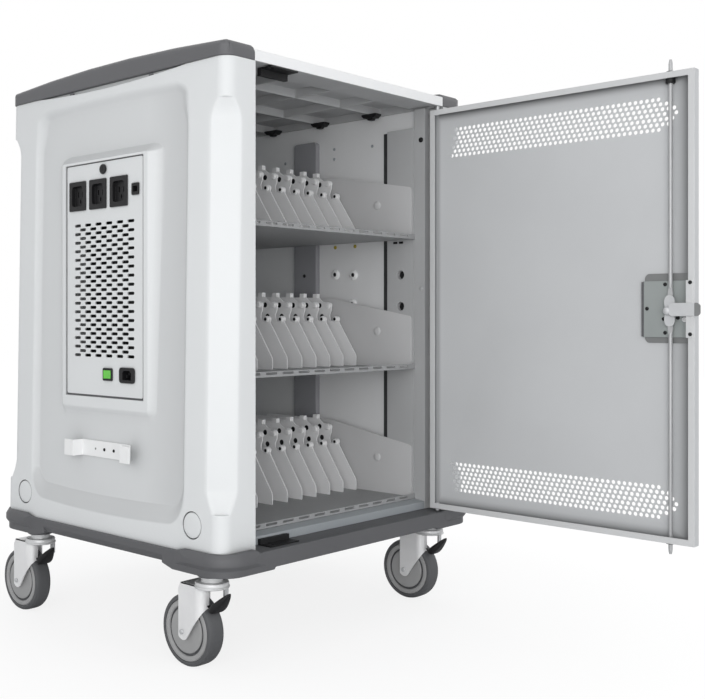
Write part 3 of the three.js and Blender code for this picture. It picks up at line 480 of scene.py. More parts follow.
for corner, x, y in (("front_left", -314, -256), ("front_right", 314, -256), ("rear_left", -314, 256),
                     ("rear_right", 314, 256)):
    low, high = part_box(corner + "_wheel")
    hub_centre = (low + high) / 2
    bm = bmesh.new()
    turned(bm, TYRE, hub_centre, (1, 0, 0), 64)
    shown(corner + "_tyre", closed_mesh(corner + "_tyre", bm, tyre_grey), corner + "_roller", corner + "_wheel")
    bm = bmesh.new()
    turned(bm, HUB_SIDE + [(r, -a) for r, a in reversed(HUB_SIDE)], hub_centre, (1, 0, 0), 64)
    hub_mesh = closed_mesh(corner + "_hub", bm, hub_grey)
    hub_mesh.materials.append(tyre_grey)
    for face in hub_mesh.polygons:
        if 39.0 * MM < math.hypot(face.center.y - hub_centre.y, face.center.z - hub_centre.z) < 43.4 * MM:
            face.material_index = 1
    shown(corner + "_hub", hub_mesh, corner + "_roller")
    bm = bmesh.new()
    fork_wall(bm, x, y, NEAR_CHEEK)
    fork_wall(bm, x, y, FAR_CHEEK)
    cut_sheet(bm, [(x - CHEEK, y + 16), (x + CHEEK, y + 16), (x + CHEEK, y + 52), (x - CHEEK, y + 52)], [],
              lambda u, v, face: at(u, v, (144.8, 147.3)[face]))
    shown(corner + "_fork_wall", closed_mesh(corner + "_fork_wall", bm, fork_zinc, 24.0), corner + "_caster",
          corner + "_fork")
    bm = bmesh.new()
    turned(bm, SWIVEL, at(x, y, 0), (0, 0, 1), 48, closed=False)
    shown(corner + "_swivel_head", closed_mesh(corner + "_swivel_head", bm, crown_zinc), corner + "_caster")
    bm = bmesh.new()
    cut_sheet(bm, eased([(17.5, 120), (26.6, 120), (26.6, 144), (17.5, 144)], 2.0, 3), [],
              lambda u, v, face, x=x, y=y: at(x + u, y + (-13, -9)[face], v))
    shown(corner + "_brake_stop", closed_mesh(corner + "_brake_stop", bm, zinc), corner + "_caster")
    bm = bmesh.new()
    turned(bm, AXLE, hub_centre, (1, 0, 0), 28, closed=False)
    shown(corner + "_axle_bolt", closed_mesh(corner + "_axle_bolt", bm, zinc), corner + "_caster", corner + "_axle")
    bm = bmesh.new()
    lofted_horn(bm, x, y)
    cut_sheet(bm, eased(PEDAL_ARM, 1.5, 3), [], lambda u, v, face, x=x, y=y: at(x + (-10, -4)[face], y + u, v))
    shown(corner + "_brake_pedal", closed_mesh(corner + "_brake_pedal", bm, black_nylon, 40.0), corner + "_brake",
          corner + "_pedal")

# Base: one dark structural moulding with raised ears round the panel corners, a rounded bumper
# rail and four deep sockets that take the caster stems.
dark_moulding = finish("dark_moulding", (0.108, 0.109, 0.115), (0.096, 0.097, 0.103), 0.52, 850.0, 0.16,
                       (0.19, 0.19, 0.2), patch=6.0, edge=0.002)
softened("base_chassis", 1.4, dark_moulding)

# Floor pan: a folded sheet-steel floor with a turned-up sill, powder coated blue-grey and screwed
# to the base.
sheet_paint = finish("sheet_paint", (0.47, 0.475, 0.48), (0.44, 0.445, 0.45), 0.5, 620.0, 0.1,
                     (0.68, 0.69, 0.7), patch=5.0, edge=0.001)
sill_paint = finish("sill_paint", (0.36, 0.385, 0.405), (0.33, 0.355, 0.375), 0.46, 620.0, 0.1,
                    (0.47, 0.49, 0.5), patch=5.0, edge=0.001)
softened("floor_pan", 0.7, sill_paint)
bm = bmesh.new()
cut_sheet(bm, [(-285.4, 219.0), (-285.4, 221.2), (-262.4, 224.4), (-262.4, 222.2)], [],
          lambda u, v, face: at((-256, 256)[face], u, v))
shown("sill_return", closed_mesh("sill_return", bm, sill_paint), "cart")

# Side frames, rear panel and ducts: folded sheet-steel liners with boxed front posts, a flanged
# rear panel, and dark moulded cable ducts screwed to the liners.
# The pale moulding carries painted shade in its hollows.
pale_moulding = finish("pale_moulding", (0.775, 0.79, 0.795), (0.75, 0.765, 0.77), 0.46, 800.0, 0.1,
                       (0.8, 0.81, 0.815), patch=4.0, edge=0.002, shade_reach=0.06, shade_factor=0.5)
# The liner takes a much lighter copy of the sheet paint than the posts at the front: painted light for the deep, shaded
# cabinet.
liner_paint = finish("liner_paint", (0.8, 0.805, 0.81), (0.76, 0.765, 0.77), 0.5, 620.0, 0.1,
                     (0.88, 0.88, 0.885), patch=5.0, edge=0.001)
# The duct's dark grey is made lighter than its own tone: painted light for the shaded back of the cabinet.
duct_grey = finish("duct_grey", (0.31, 0.312, 0.33), (0.28, 0.282, 0.3), 0.5, 850.0, 0.14,
                   (0.32, 0.32, 0.33), patch=6.0, edge=0.002)
for hand in ("left", "right"):
    frame_mesh = softened_mesh(hand + "_side_frame", 0.6, liner_paint)
    frame_mesh.materials.append(sheet_paint)
    for face in frame_mesh.polygons:
        if abs(face.center.x) < 0.2695 and face.center.y < -0.18:
            face.material_index = 1
    shown(hand + "_side_frame_body", frame_mesh, "cart", hand + "_side_frame")
    softened(hand + "_rear_duct", 1.6, duct_grey)
# The rear panel is pale blue-grey, pushed near white as painted light for the shaded back of the cabinet.
rear_paint = finish("rear_paint", (0.9, 0.94, 0.97), (0.87, 0.91, 0.94), 0.46, 620.0, 0.1,
                    (0.86, 0.9, 0.93), patch=4.0, edge=0.001)
softened("rear_panel", 1.2, rear_paint)


def new_tree(name, *sockets):
    """A Geometry Nodes tree with its named inputs, and its group input and output nodes."""
    tree = bpy.data.node_groups.new(name, "GeometryNodeTree")
    tree.interface.new_socket("Geometry", in_out="INPUT", socket_type="NodeSocketGeometry")
    for socket, kind in sockets:
        tree.interface.new_socket(socket, in_out="INPUT", socket_type="NodeSocket" + kind)
    tree.interface.new_socket("Finish", in_out="INPUT", socket_type="NodeSocketMaterial")
    tree.interface.new_socket("Geometry", in_out="OUTPUT", socket_type="NodeSocketGeometry")
    given = tree.nodes.new("NodeGroupInput").outputs
    return tree, given


def end_tree(tree, given, geometry):
    real = add_node(tree, "GeometryNodeRealizeInstances", {"Geometry": geometry})
    dressed = add_node(tree, "GeometryNodeSetMaterial", {"Geometry": real.outputs[0], "Material": given["Finish"]})
    result = tree.nodes.new("NodeGroupOutput")
    tree.links.new(dressed.outputs[0], result.inputs[0])
    return tree


def grown(name, base, tree, **values):
    """The plain mesh that a Geometry Nodes tree makes of a base mesh with its named inputs set."""
    host = bpy.data.objects.new(name, base)
    scene.collection.objects.link(host)
    growth = host.modifiers.new(name, "NODES")
    growth.node_group = tree
    for item in tree.interface.items_tree:
        key = item.name.lower().replace(" ", "_")
        if item.in_out == "INPUT" and key in values:
            growth[item.identifier] = values[key]
    return evaluated(host)


def fastener_tree():
    tree, given = new_tree("fasteners", ("Head", "Object"), ("Size", "Float"))
    head = add_node(tree, "GeometryNodeObjectInfo", {"Object": given["Head"]})
    aim = add_node(tree, "GeometryNodeInputNamedAttribute", {"Name": "aim"}, data_type="FLOAT_VECTOR")
    turn = add_node(tree, "FunctionNodeAlignRotationToVector", {"Vector": aim.outputs["Attribute"]}, axis="Z")
    heads = add_node(tree, "GeometryNodeInstanceOnPoints", {"Points": given["Geometry"],
                                                            "Instance": head.outputs["Geometry"],
                                                            "Rotation": turn.outputs[0], "Scale": given["Size"]})
    return end_tree(tree, given, heads.outputs[0])


def points_mesh(name, spots):
    mesh = bpy.data.meshes.new(name)
    mesh.from_pydata([at(*spot) for spot, aim in spots], [], [])
    aims = mesh.attributes.new("aim", "FLOAT_VECTOR", "POINT")
    for item, (spot, aim) in zip(aims.data, spots):
        item.vector = aim
    return mesh


FASTENERS = fastener_tree()
bm = bmesh.new()
turned(bm, [(0.0, -0.3), (1.0, -0.3), (1.0, 0.14), (0.9, 0.34), (0.7, 0.46), (0.46, 0.5), (0.4, 0.12), (0.0, 0.08)],
       Vector((0, 0, 0)), (0, 0, 1), 12, closed=False)
bmesh.ops.scale(bm, vec=(1 / MM, 1 / MM, 1 / MM), verts=bm.verts)
screw_head = bpy.data.objects.new("screw_head", closed_mesh("screw_head", bm, zinc, 50.0))
scene.collection.objects.link(screw_head)


def fastened(name, body, size, material, spots):
    """Screw heads of one size at spots of (place, direction the head faces)."""
    mesh = grown(name, points_mesh(name, spots), FASTENERS, head=screw_head, size=size * MM, finish=material)
    return shown(name, mesh, body)


def block(bm, x0, x1, y0, y1, z0, z1):
    cut_sheet(bm, [(x0, y0), (x1, y0), (x1, y1), (x0, y1)], [], lambda u, v, face: at(u, v, (z0, z1)[face]))


# A near-black finish for painted shadow.
seal_grey = finish("seal_grey", (0.045, 0.045, 0.047), (0.035, 0.035, 0.037), 0.6, 900.0, 0.1,
                   (0.07, 0.07, 0.072), patch=12.0)
white_nylon = finish("white_nylon", (0.92, 0.925, 0.925), (0.89, 0.895, 0.895), 0.4, 700.0, 0.05,
                     (0.93, 0.93, 0.93), patch=8.0, edge=0.001)
brass = finish("brass", (0.5, 0.4, 0.05), (0.42, 0.33, 0.04), 0.35, 500.0, 0.05, (0.62, 0.52, 0.16),
               metal=0.3, patch=20.0)
for hand, sign in (("left", -1), ("right", 1)):
    inward = (-sign, 0, 0)
    grommets = ((-35, 696), (-87, 694), (-84, 630))
    fastened(hand + "_liner_grommets", "cart", 11.0, white_nylon, [((sign * 270, y, z), inward) for y, z in grommets])
    fastened(hand + "_grommet_screws", "cart", 4.6, black_nylon,
             [((sign * 266.6, y, z), inward) for y, z in grommets])
    fastened(hand + "_liner_rivets", "cart", 3.4, sill_paint,
             [((sign * 270, y, z), inward) for y, z in ((-30, 955), (-30, 977), (-138, 972), (120, 960))])
    fastened(hand + "_brass_screws", "cart", 4.2, brass, [((sign * 270, y, 757), inward) for y in (-33, -90)])
    fastened(hand + "_post_screws", "cart", 5.0, sheet_paint, [((sign * 256.3, -277, 661), inward)])
    fastened(hand + "_post_holes", "cart", 5.4, black_nylon, [((sign * 256.1, -277, 968), inward)])
    fastened(hand + "_duct_screws", "cart", 4.0, black_nylon, [((sign * 256.3, 48, z), inward) for z in (330, 695, 930)])
    # A near-black strip on the liner just behind each post: painted shadow in the gap beside the post.
    bm = bmesh.new()
    block(bm, *sorted((sign * 270.2, sign * 269.3)), -188.8, -170, 212, 994)
    shown(hand + "_post_seal", closed_mesh(hand + "_post_seal", bm, seal_grey), "cart")
    bm = bmesh.new()
    for y in (-226, -211):
        block(bm, *sorted((sign * 255.4, sign * 256.6)), y - 5.2, y + 5.2, 755.6, 760.2)
    shown(hand + "_post_slots", closed_mesh(hand + "_post_slots", bm, black_nylon), "cart")
    for z in (690, 624):
        bm = bmesh.new()
        turned(bm, [(0.0, 0.0), (8.9, 0.0), (9.2, 0.5), (9.2, 1.5), (0.0, 1.5)], at(sign * 268, -224, z), inward, 24,
               closed=False)
        shown(f"{hand}_post_plug_{z}", closed_mesh("post_plug", bm, black_nylon), "cart")

# Shelves: folded steel trays with a slotted front lip, sloped side plates and twelve spot-welded
# dividers, each cut with cable-clip noses; a black charging strip stands at the back of each.
SHELF_FLOORS = (("lower", 225.0), ("middle", 494.0), ("upper", 763.0))
NOSE = [(0, 0), (0, 23), (48, 94), (49, 104), (56, 109), (63, 104), (67, 96), (73, 99), (75, 110), (70, 120), (70, 131),
        (77, 139), (86, 138), (94, 139), (108, 149), (109, 157), (121, 157), (123, 149), (268, 149), (268, 0)]


def row_tree():
    tree, given = new_tree("row_of_copies", ("Part", "Object"), ("Copies", "Int"), ("First", "Vector"),
                           ("Pitch", "Vector"))
    part = add_node(tree, "GeometryNodeObjectInfo", {"Object": given["Part"]})
    line = add_node(tree, "GeometryNodeMeshLine", {"Count": given["Copies"], "Start Location": given["First"],
                                                   "Offset": given["Pitch"]})
    copies = add_node(tree, "GeometryNodeInstanceOnPoints", {"Points": line.outputs[0],
                                                             "Instance": part.outputs["Geometry"]})
    return end_tree(tree, given, copies.outputs[0])


def slot_tree():
    tree, given = new_tree("punched_slots", ("Columns", "Int"), ("Rows", "Int"), ("Pitch across", "Float"),
                           ("Pitch up", "Float"), ("Slot length", "Float"), ("Slot width", "Float"),
                           ("Staggered", "Bool"), ("Turn", "Vector"), ("Shift", "Vector"))

    def maths(operation, first, second):
        return add_node(tree, "ShaderNodeMath", {0: first, 1: second}, operation=operation).outputs[0]

    radius = maths("MULTIPLY", given["Slot width"], 0.5)
    ends = maths("MULTIPLY", maths("SUBTRACT", given["Slot length"], given["Slot width"]), 0.5)
    end_post = add_node(tree, "GeometryNodeMeshCylinder", {"Vertices": 10, "Radius": radius, "Depth": 0.02})
    both = tree.nodes.new("GeometryNodeJoinGeometry")
    for side in (1.0, -1.0):
        shift = add_node(tree, "ShaderNodeCombineXYZ", {"X": maths("MULTIPLY", ends, side)})
        moved = add_node(tree, "GeometryNodeTransform", {"Geometry": end_post.outputs[0],
                                                         "Translation": shift.outputs[0]})
        tree.links.new(moved.outputs[0], both.inputs[0])
    punch = add_node(tree, "GeometryNodeConvexHull", {"Geometry": both.outputs[0]})
    grids = []
    for fewer in (0, 1):
        columns = maths("SUBTRACT", given["Columns"], float(fewer))
        rows = maths("SUBTRACT", given["Rows"], float(fewer))
        grid = add_node(tree, "GeometryNodeMeshGrid", {
            "Size X": maths("MULTIPLY", maths("SUBTRACT", columns, 1.0), given["Pitch across"]),
            "Size Y": maths("MULTIPLY", maths("SUBTRACT", rows, 1.0), given["Pitch up"]),
            "Vertices X": columns, "Vertices Y": rows})
        punches = add_node(tree, "GeometryNodeInstanceOnPoints", {"Points": grid.outputs[0],
                                                                  "Instance": punch.outputs[0]})
        grids.append(punches.outputs[0])
    between = add_node(tree, "GeometryNodeSwitch", {"Switch": given["Staggered"], "True": grids[1]})
    every = tree.nodes.new("GeometryNodeJoinGeometry")
    tree.links.new(grids[0], every.inputs[0])
    tree.links.new(between.outputs[0], every.inputs[0])
    real = add_node(tree, "GeometryNodeRealizeInstances", {"Geometry": every.outputs[0]})
    placed = add_node(tree, "GeometryNodeTransform", {"Geometry": real.outputs[0], "Rotation": given["Turn"],
                                                      "Translation": given["Shift"]})
    cut = add_node(tree, "GeometryNodeMeshBoolean", {"Mesh 1": given["Geometry"], "Mesh 2": placed.outputs[0]},
                   operation="DIFFERENCE", solver="MANIFOLD")
    return end_tree(tree, given, cut.outputs[0])


ROW_OF_COPIES = row_tree()
PUNCHED_SLOTS = slot_tree()

# The shelf steel is one paint in three tones, lighter on the side plates and lightest on the dividers deep in the
# cabinet: painted light.
divider_paint = finish("divider_paint", (0.92, 0.92, 0.925), (0.88, 0.88, 0.885), 0.5, 620.0, 0.1,
                       (0.86, 0.86, 0.865), patch=5.0, edge=0.001)
tray_paint = finish("tray_paint", (0.35, 0.355, 0.36), (0.315, 0.32, 0.325), 0.5, 620.0, 0.1,
                    (0.5, 0.5, 0.51), patch=5.0, edge=0.001)
side_paint = finish("side_paint", (0.64, 0.64, 0.645), (0.6, 0.6, 0.605), 0.5, 620.0, 0.1,
                    (0.7, 0.7, 0.705), patch=5.0, edge=0.001)
bm = bmesh.new()
cut_sheet(bm, eased(NOSE, 3.5), [round_hole(104, 131, 5.0), round_hole(97, 107, 5.0)],
          lambda u, v, face: at((-1.25, 1.25)[face], -118 + u, v))
for u, v in ((56, 101), (78, 131)):
    turned(bm, [(0.0, -6.5), (5.0, -6.5), (6.4, -5.0), (6.4, 5.0), (5.0, 6.5), (0.0, 6.5)], at(0, -118 + u, v), (1, 0, 0),
           14, closed=False)
block(bm, -5, 5, -9, 3, 148, 157)
divider = bpy.data.objects.new("divider", closed_mesh("divider", bm, divider_paint))
scene.collection.objects.link(divider)

bm = bmesh.new()
for u, v in ((104, 131), (97, 107)):
    turned(bm, [(0.0, -1.6), (4.7, -1.6), (5.6, -1.3), (5.6, 1.3), (4.7, 1.6), (0.0, 1.6)], at(0, -118 + u, v), (1, 0, 0),
           14, closed=False)
for side in (-1, 1):
    turned(bm, [(0.0, 6.0), (3.6, 6.0), (3.6, 6.9), (0.0, 7.1)], at(0, -62, 101), (side, 0, 0), 12, closed=False)
clip_grommet = bpy.data.objects.new("clip_grommet", closed_mesh("clip_grommet", bm, black_nylon))
scene.collection.objects.link(clip_grommet)

bm = bmesh.new()
cut_sheet(bm, eased([(-17, -12), (17, -12), (17, 12), (-17, 12)], 3.0, 3),
          [[(-8.5, -1), (-5.5, -1), (-5.5, 7), (-8.5, 7)], [(5.5, -1), (8.5, -1), (8.5, 7), (5.5, 7)],
           round_hole(0, -6, 2.6, 8)],
          lambda u, v, face: at(u, (-2.2, 1.0)[face], v))
strip_socket = bpy.data.objects.new("strip_socket", closed_mesh("strip_socket", bm, dark_moulding))
scene.collection.objects.link(strip_socket)

for level, z in SHELF_FLOORS:
    bm = bmesh.new()
    block(bm, -256, 256, -261.9, 250, z, z + 3)
    shown(level + "_shelf_floor", closed_mesh(level + "_shelf_floor", bm, tray_paint), "cart")
    bm = bmesh.new()
    for x, inner in ((-256.0, 1), (253.5, -1)):
        cut_sheet(bm, eased([(-253, z + 2.9), (-253, z + 109), (-35, z + 149), (150, z + 149), (150, z + 2.9)], 5.0),
                  [], lambda u, v, face, x=x: at(x + 2.5 * face, u, v))
        turned(bm, [(0.0, 0.0), (9.0, 0.0), (9.0, 1.6), (8.2, 2.8), (6.2, 3.7), (3.4, 4.2), (0.0, 4.3)],
               at(x + 1.25, -164, z + 77), (inner, 0, 0), 24, closed=False)
    shown(level + "_shelf_sides", closed_mesh(level + "_shelf_sides", bm, side_paint), "cart", level + "_shelf")
    bm = bmesh.new()
    cut_sheet(bm, [(-262, z), (-262, z + 9.4), (-261.4, z + 10), (-260.1, z + 10), (-259.5, z + 9.4), (-259.5, z)], [],
              lambda u, v, face: at((-256, 256)[face], u, v))
    lip = grown(level + "_shelf_lip", closed_mesh("lip", bm, tray_paint), PUNCHED_SLOTS, columns=11, rows=1,
                pitch_across=0.0435, pitch_up=0.01, slot_length=0.03, slot_width=0.0046, staggered=False,
                turn=(math.pi / 2, 0.0, 0.0), shift=tuple(at(0, -260.75, z + 6)), finish=tray_paint)
    shown(level + "_shelf_lip", lip, "cart")
    row = grown(level + "_dividers", bpy.data.meshes.new("none"), ROW_OF_COPIES, part=divider, copies=12,
                first=tuple(at(-5.5 * 43.5, 0, z + 2)), pitch=tuple(at(43.5, 0, 0)), finish=divider_paint)
    shown(level + "_dividers", row, "cart")
    row = grown(level + "_clip_grommets", bpy.data.meshes.new("none"), ROW_OF_COPIES, part=clip_grommet, copies=12,
                first=tuple(at(-5.5 * 43.5, 0, z + 2)), pitch=tuple(at(43.5, 0, 0)), finish=black_nylon)
    shown(level + "_clip_grommets", row, "cart")
    softened(level + "_power_strip", 1.5, black_nylon)
    row = grown(level + "_strip_sockets", bpy.data.meshes.new("none"), ROW_OF_COPIES, part=strip_socket, copies=10,
                first=tuple(at(-4.5 * 43.5, 199, z + 26)), pitch=tuple(at(43.5, 0, 0)), finish=dark_moulding)
    shown(level + "_strip_sockets", row, "cart")

# Top panel: a pale ribbed moulding, open below, that snaps to the side frames with black nylon
# clips along both edges.
# The top moulding's faces seen from inside, and the front flange under it, take this darker grey copy: painted shade of
# the ceiling.
ceiling_grey = finish("ceiling_grey", (0.5, 0.505, 0.51), (0.46, 0.465, 0.47), 0.5, 800.0, 0.12,
                      (0.56, 0.565, 0.57), patch=4.0, edge=0.001)
top_paint = finish("top_paint", (0.95, 0.955, 0.96), (0.92, 0.925, 0.93), 0.46, 800.0, 0.1,
                   (0.96, 0.96, 0.965), patch=4.0, edge=0.002)
top_mesh = softened_mesh("top_panel", 1.6, top_paint)
top_mesh.materials.append(ceiling_grey)
for face in top_mesh.polygons:
    if face.normal.z < -0.35 or (face.center.z < 1.0515 and abs(face.center.x) < 0.27 and abs(face.center.y) < 0.317):
        face.material_index = 1
shown("top_panel_body", top_mesh, "cart", "top_panel")
bm = bmesh.new()
cut_sheet(bm, [(-268, -314.5), (-237, -314.5), (-237, -296), (-212, -296), (-212, -314.5), (248, -314.5), (248, -252),
               (-268, -252)], [], lambda u, v, face: at(u, v, (1033.6, 1036)[face]))
shown("top_front_flange", rounded_mesh("top_front_flange", bm, 0.6, ceiling_grey), "cart")
bm = bmesh.new()
cut_sheet(bm, eased([(-20, 0), (-20, -3), (-13, -9), (13, -9), (20, -3), (20, 0)], 2.0, 3), [],
          lambda u, v, face: at((-9, 9)[face], u, v))
cut_sheet(bm, eased([(-8, -8), (8, -8), (6, -13), (-6, -13)], 1.5, 3), [], lambda u, v, face: at((-5, 5)[face], u, v))
top_clip = bpy.data.objects.new("top_clip", closed_mesh("top_clip", bm, black_nylon))
scene.collection.objects.link(top_clip)
for hand, sign in (("left", -1), ("right", 1)):
    clips = grown(hand + "_top_clips", bpy.data.meshes.new("none"), ROW_OF_COPIES, part=top_clip, copies=3,
                  first=tuple(at(sign * 240, -159, 1034)), pitch=tuple(at(0, 145, 0)), finish=black_nylon)
    shown(hand + "_top_clips", clips, "cart")

# Side panels: pale blow-moulded panels that lean in at the top, with a soft dish, scooped corners
# and a finger recess under the cap; the left one has a raised boss that carries the power plate.
LEAN = 14.0 / 827.0


def smooth_step(t):
    t = min(1.0, max(0.0, t))
    return t * t * (3 - 2 * t)


def inside(a, b, radius):
    """How far a point lies inside a rounded corner, from its depth inside the two sides."""
    if a < radius and b < radius:
        return radius - math.hypot(radius - a, radius - b)
    return min(a, b)


def dish_depth(y, z, has_boss):
    """How far the outer face lies inside the leaning plane of the panel's rim."""
    sag = 1 - (y / 230.0) ** 2
    low = (z - (247 - 9 * sag)) * 32 / 36
    high = (1007 + 6 * sag - z) * 32 / 20
    wall = inside(230 - abs(y), min(low, high), 44.0)
    share = smooth_step((abs(y) - 170) / 40) * smooth_step((z - 270) / 40) * smooth_step((980 - z) / 60)
    depth = 10.5 * smooth_step(wall / (32 - 16 * share))
    if has_boss:
        upright = LEAN * (1033 - z) - 9
        side, end = (abs(y) - 122) / 1.5, max((z - 891) / 0.88, (439 - z) / 1.5)
        flank = math.hypot(max(side, 0), max(end, 0)) + min(max(side, end), 0) - 4
        flank = upright + 0.5 * (flank + math.sqrt(flank * flank + 0.25))
        apart = depth - flank
        depth = 0.5 * (depth + flank - math.sqrt(apart * apart + 0.25))
        if abs(y) < 116.6 and 452.9 < z < 889.6:
            depth = upright + 4.3
        if abs(y) < 106.1 and 465.9 < z < 885.1:
            depth = upright + 41
    crescent = smooth_step((z - 1025.0 - 8.0 * (y / 220) ** 2) / 1.6) if abs(y) < 220 else 0.0
    return depth + 5.0 * crescent


def scoop_limit(z):
    """The corner scoop's plane, as |x| + |y|: flat in the middle, running out to a step at each end."""
    if z < 276:
        return 640 + 30 * smooth_step((276 - z) / 3)
    if z < 314:
        return 624 + 16 * ((314 - z) / 38) ** 1.35
    if z <= 924:
        return 624.0
    if z <= 965:
        return 624 + 19 * ((z - 924) / 41) ** 2
    return 643 + 30 * smooth_step((z - 965) / 3)


def dish_shade_group():
    """A painted-shade mask: it grows with depth inside the panel's leaning plane, most of all behind the dish's front
    edge where the rim's shadow falls, and it darkens up-facing slopes at the boss's top and low on the panel.
    """
    group = bpy.data.node_groups.new("dish_dust", "ShaderNodeTree")
    group.interface.new_socket("Mask", in_out="OUTPUT", socket_type="NodeSocketFloat")
    place = add_node(group, "ShaderNodeTexCoord")
    part = add_node(group, "ShaderNodeSeparateXYZ", {0: place.outputs["Object"]})

    def maths(operation, *values):
        return add_node(group, "ShaderNodeMath", dict(enumerate(values)), operation=operation).outputs[0]

    plane = maths("MULTIPLY_ADD", part.outputs["Z"], -LEAN, 0.341 + LEAN * 1.033)
    depth = maths("SUBTRACT", plane, maths("ABSOLUTE", part.outputs["X"]))
    sunk = add_node(group, "ShaderNodeMapRange", {"Value": depth, "From Min": 0.002, "From Max": 0.0105})
    within = add_node(group, "ShaderNodeMapRange", {"Value": maths("ABSOLUTE", part.outputs["Y"]), "From Min": 0.2305,
                                                    "From Max": 0.226})
    front = add_node(group, "ShaderNodeMapRange", {"Value": part.outputs["Y"], "From Min": -0.11, "From Max": -0.2,
                                                   "To Min": 0.4, "To Max": 1.0})
    mask = maths("MULTIPLY", maths("MULTIPLY", sunk.outputs[0], within.outputs[0]), front.outputs[0])
    surface = add_node(group, "ShaderNodeNewGeometry")
    slope = add_node(group, "ShaderNodeSeparateXYZ", {0: surface.outputs["Normal"]})
    for tilt, tilted, foot, head, most in ((0.2, 0.55, 0.884, 0.94, 1.5), (0.06, 0.19, 0.23, 0.312, 1.1)):
        ledge = add_node(group, "ShaderNodeMapRange", {"Value": slope.outputs["Z"], "From Min": tilt, "From Max": tilted,
                                                       "To Max": most})
        above = add_node(group, "ShaderNodeMapRange", {"Value": part.outputs["Z"], "From Min": foot,
                                                       "From Max": foot + 0.004})
        below = add_node(group, "ShaderNodeMapRange", {"Value": part.outputs["Z"], "From Min": head,
                                                       "From Max": head - 0.01})
        ledge = maths("MULTIPLY", ledge.outputs[0], maths("MULTIPLY", above.outputs[0], below.outputs[0]))
        mask = maths("MAXIMUM", mask, maths("MULTIPLY", ledge, within.outputs[0]))
    result = group.nodes.new("NodeGroupOutput")
    group.links.new(mask, result.inputs["Mask"])
    return group


def shaded_by(material, group, dark):
    """Mixes painted shade, a darker tone, into a finish where the group's mask says."""
    tree = material.node_tree
    shader = next(node for node in tree.nodes if node.type == "BSDF_PRINCIPLED")
    tone = shader.inputs["Base Color"].links[0].from_socket
    where = add_node(tree, "ShaderNodeGroup", node_tree=group)
    mixed = add_node(tree, "ShaderNodeMix", {0: where.outputs["Mask"], 6: tone, 7: (*dark, 1.0)}, data_type="RGBA")
    tree.links.new(mixed.outputs[2], shader.inputs["Base Color"])


def grid_lines(*spans):
    lines = sorted({round(a + (b - a) * k / n, 3) for a, b, n in spans for k in range(n + 1)})
    return [line for i, line in enumerate(lines) if i == 0 or line - lines[i - 1] > 0.2]


def side_panel(bm, sign, has_boss):
    half = grid_lines((0, 104, 13), (106, 106.3, 1), (116.5, 116.8, 1), (117, 150, 28), (150, 198, 10), (198, 232, 16),
                      (232, 284, 8), (284, 296, 6))
    across = [-y for y in reversed(half)] + half[1:]
    rises = grid_lines((206, 236, 4), (238, 272, 14), (272, 278, 12), (278, 314, 16), (314, 424, 12), (424, 450, 22),
                       (452.7, 453, 1), (465.7, 466, 1), (470, 882, 40), (885, 885.3, 1), (889.5, 889.8, 1),
                       (890, 916, 24), (918, 962, 18), (962, 969, 14), (970, 984, 6), (984, 1014, 14),
                       (1016, 1022, 3), (1022, 1033, 16))
    front = [(o, -320.0) for o in grid_lines((273.6, 299, 4), (299, 317, 8))]
    curve = [(317 + 24 * math.sin(a), -296 - 24 * math.cos(a)) for a in
             [math.pi / 2 * k / 16 for k in range(1, 16)]]
    path = front + curve + [(341.0, y) for y in across]
    path += [(o, -y) for o, y in reversed(front + curve)]
    rows = []
    for z in rises:
        row = []
        for o, y in path:
            if o == 341.0:
                o -= dish_depth(y, z, has_boss)
            over = o + abs(y) - scoop_limit(z)
            shift = 0.25 * (over + math.sqrt(over * over + 6)) if over > -14 else 0.0
            o -= shift
            y -= math.copysign(shift, y)
            o += LEAN * (1033 - z) * min(1.0, max(0.0, (o - 273.6) / 30))
            row.append(bm.verts.new(at(sign * o, y, z)))
        rows.append(row)
    last = len(path) - 1
    for under, above in zip(rows, rows[1:]):
        for i in range(last):
            bm.faces.new((under[i], under[i + 1], above[i + 1], above[i]))
        bm.faces.new((under[last], under[0], above[0], above[last]))
    bm.faces.new(rows[0])
    bm.faces.new(rows[-1])


def perforation_tree():
    tree, given = new_tree("perforations", ("Hole centres", "Object"), ("Hole radius", "Float"), ("Sides", "Int"),
                           ("Depth", "Float"))
    centres = add_node(tree, "GeometryNodeObjectInfo", {"Object": given["Hole centres"]})
    post = add_node(tree, "GeometryNodeMeshCylinder", {"Vertices": given["Sides"], "Radius": given["Hole radius"],
                                                       "Depth": given["Depth"]})
    punch = add_node(tree, "GeometryNodeTransform", {"Geometry": post.outputs[0],
                                                     "Rotation": (0.0, math.pi / 2, 0.0)})
    punches = add_node(tree, "GeometryNodeInstanceOnPoints", {"Points": centres.outputs["Geometry"],
                                                              "Instance": punch.outputs[0]})
    real = add_node(tree, "GeometryNodeRealizeInstances", {"Geometry": punches.outputs[0]})
    cut = add_node(tree, "GeometryNodeMeshBoolean", {"Mesh 1": given["Geometry"], "Mesh 2": real.outputs[0]},
                   operation="DIFFERENCE", solver="MANIFOLD")
    return end_tree(tree, given, cut.outputs[0])


PERFORATIONS = perforation_tree()


def flat_shaded(mesh):
    """Drops stored normals, so that a cut sheet shades flat between its folds."""
    if "custom_normal" in mesh.attributes:
        mesh.attributes.remove(mesh.attributes["custom_normal"])
    mesh.shade_smooth()
    mesh.set_sharp_from_angle(angle=math.radians(20))


def perforated(name, base, centres, radius, sides, depth, material):
    spots = bpy.data.objects.new(name + "_spots", points_mesh(name + "_spots", [(spot, (1, 0, 0)) for spot in centres]))
    scene.collection.objects.link(spots)
    mesh = grown(name, base, PERFORATIONS, hole_centres=spots, hole_radius=radius * MM, sides=sides,
                 depth=depth * MM, finish=material)
    bpy.data.objects.remove(spots)
    return mesh
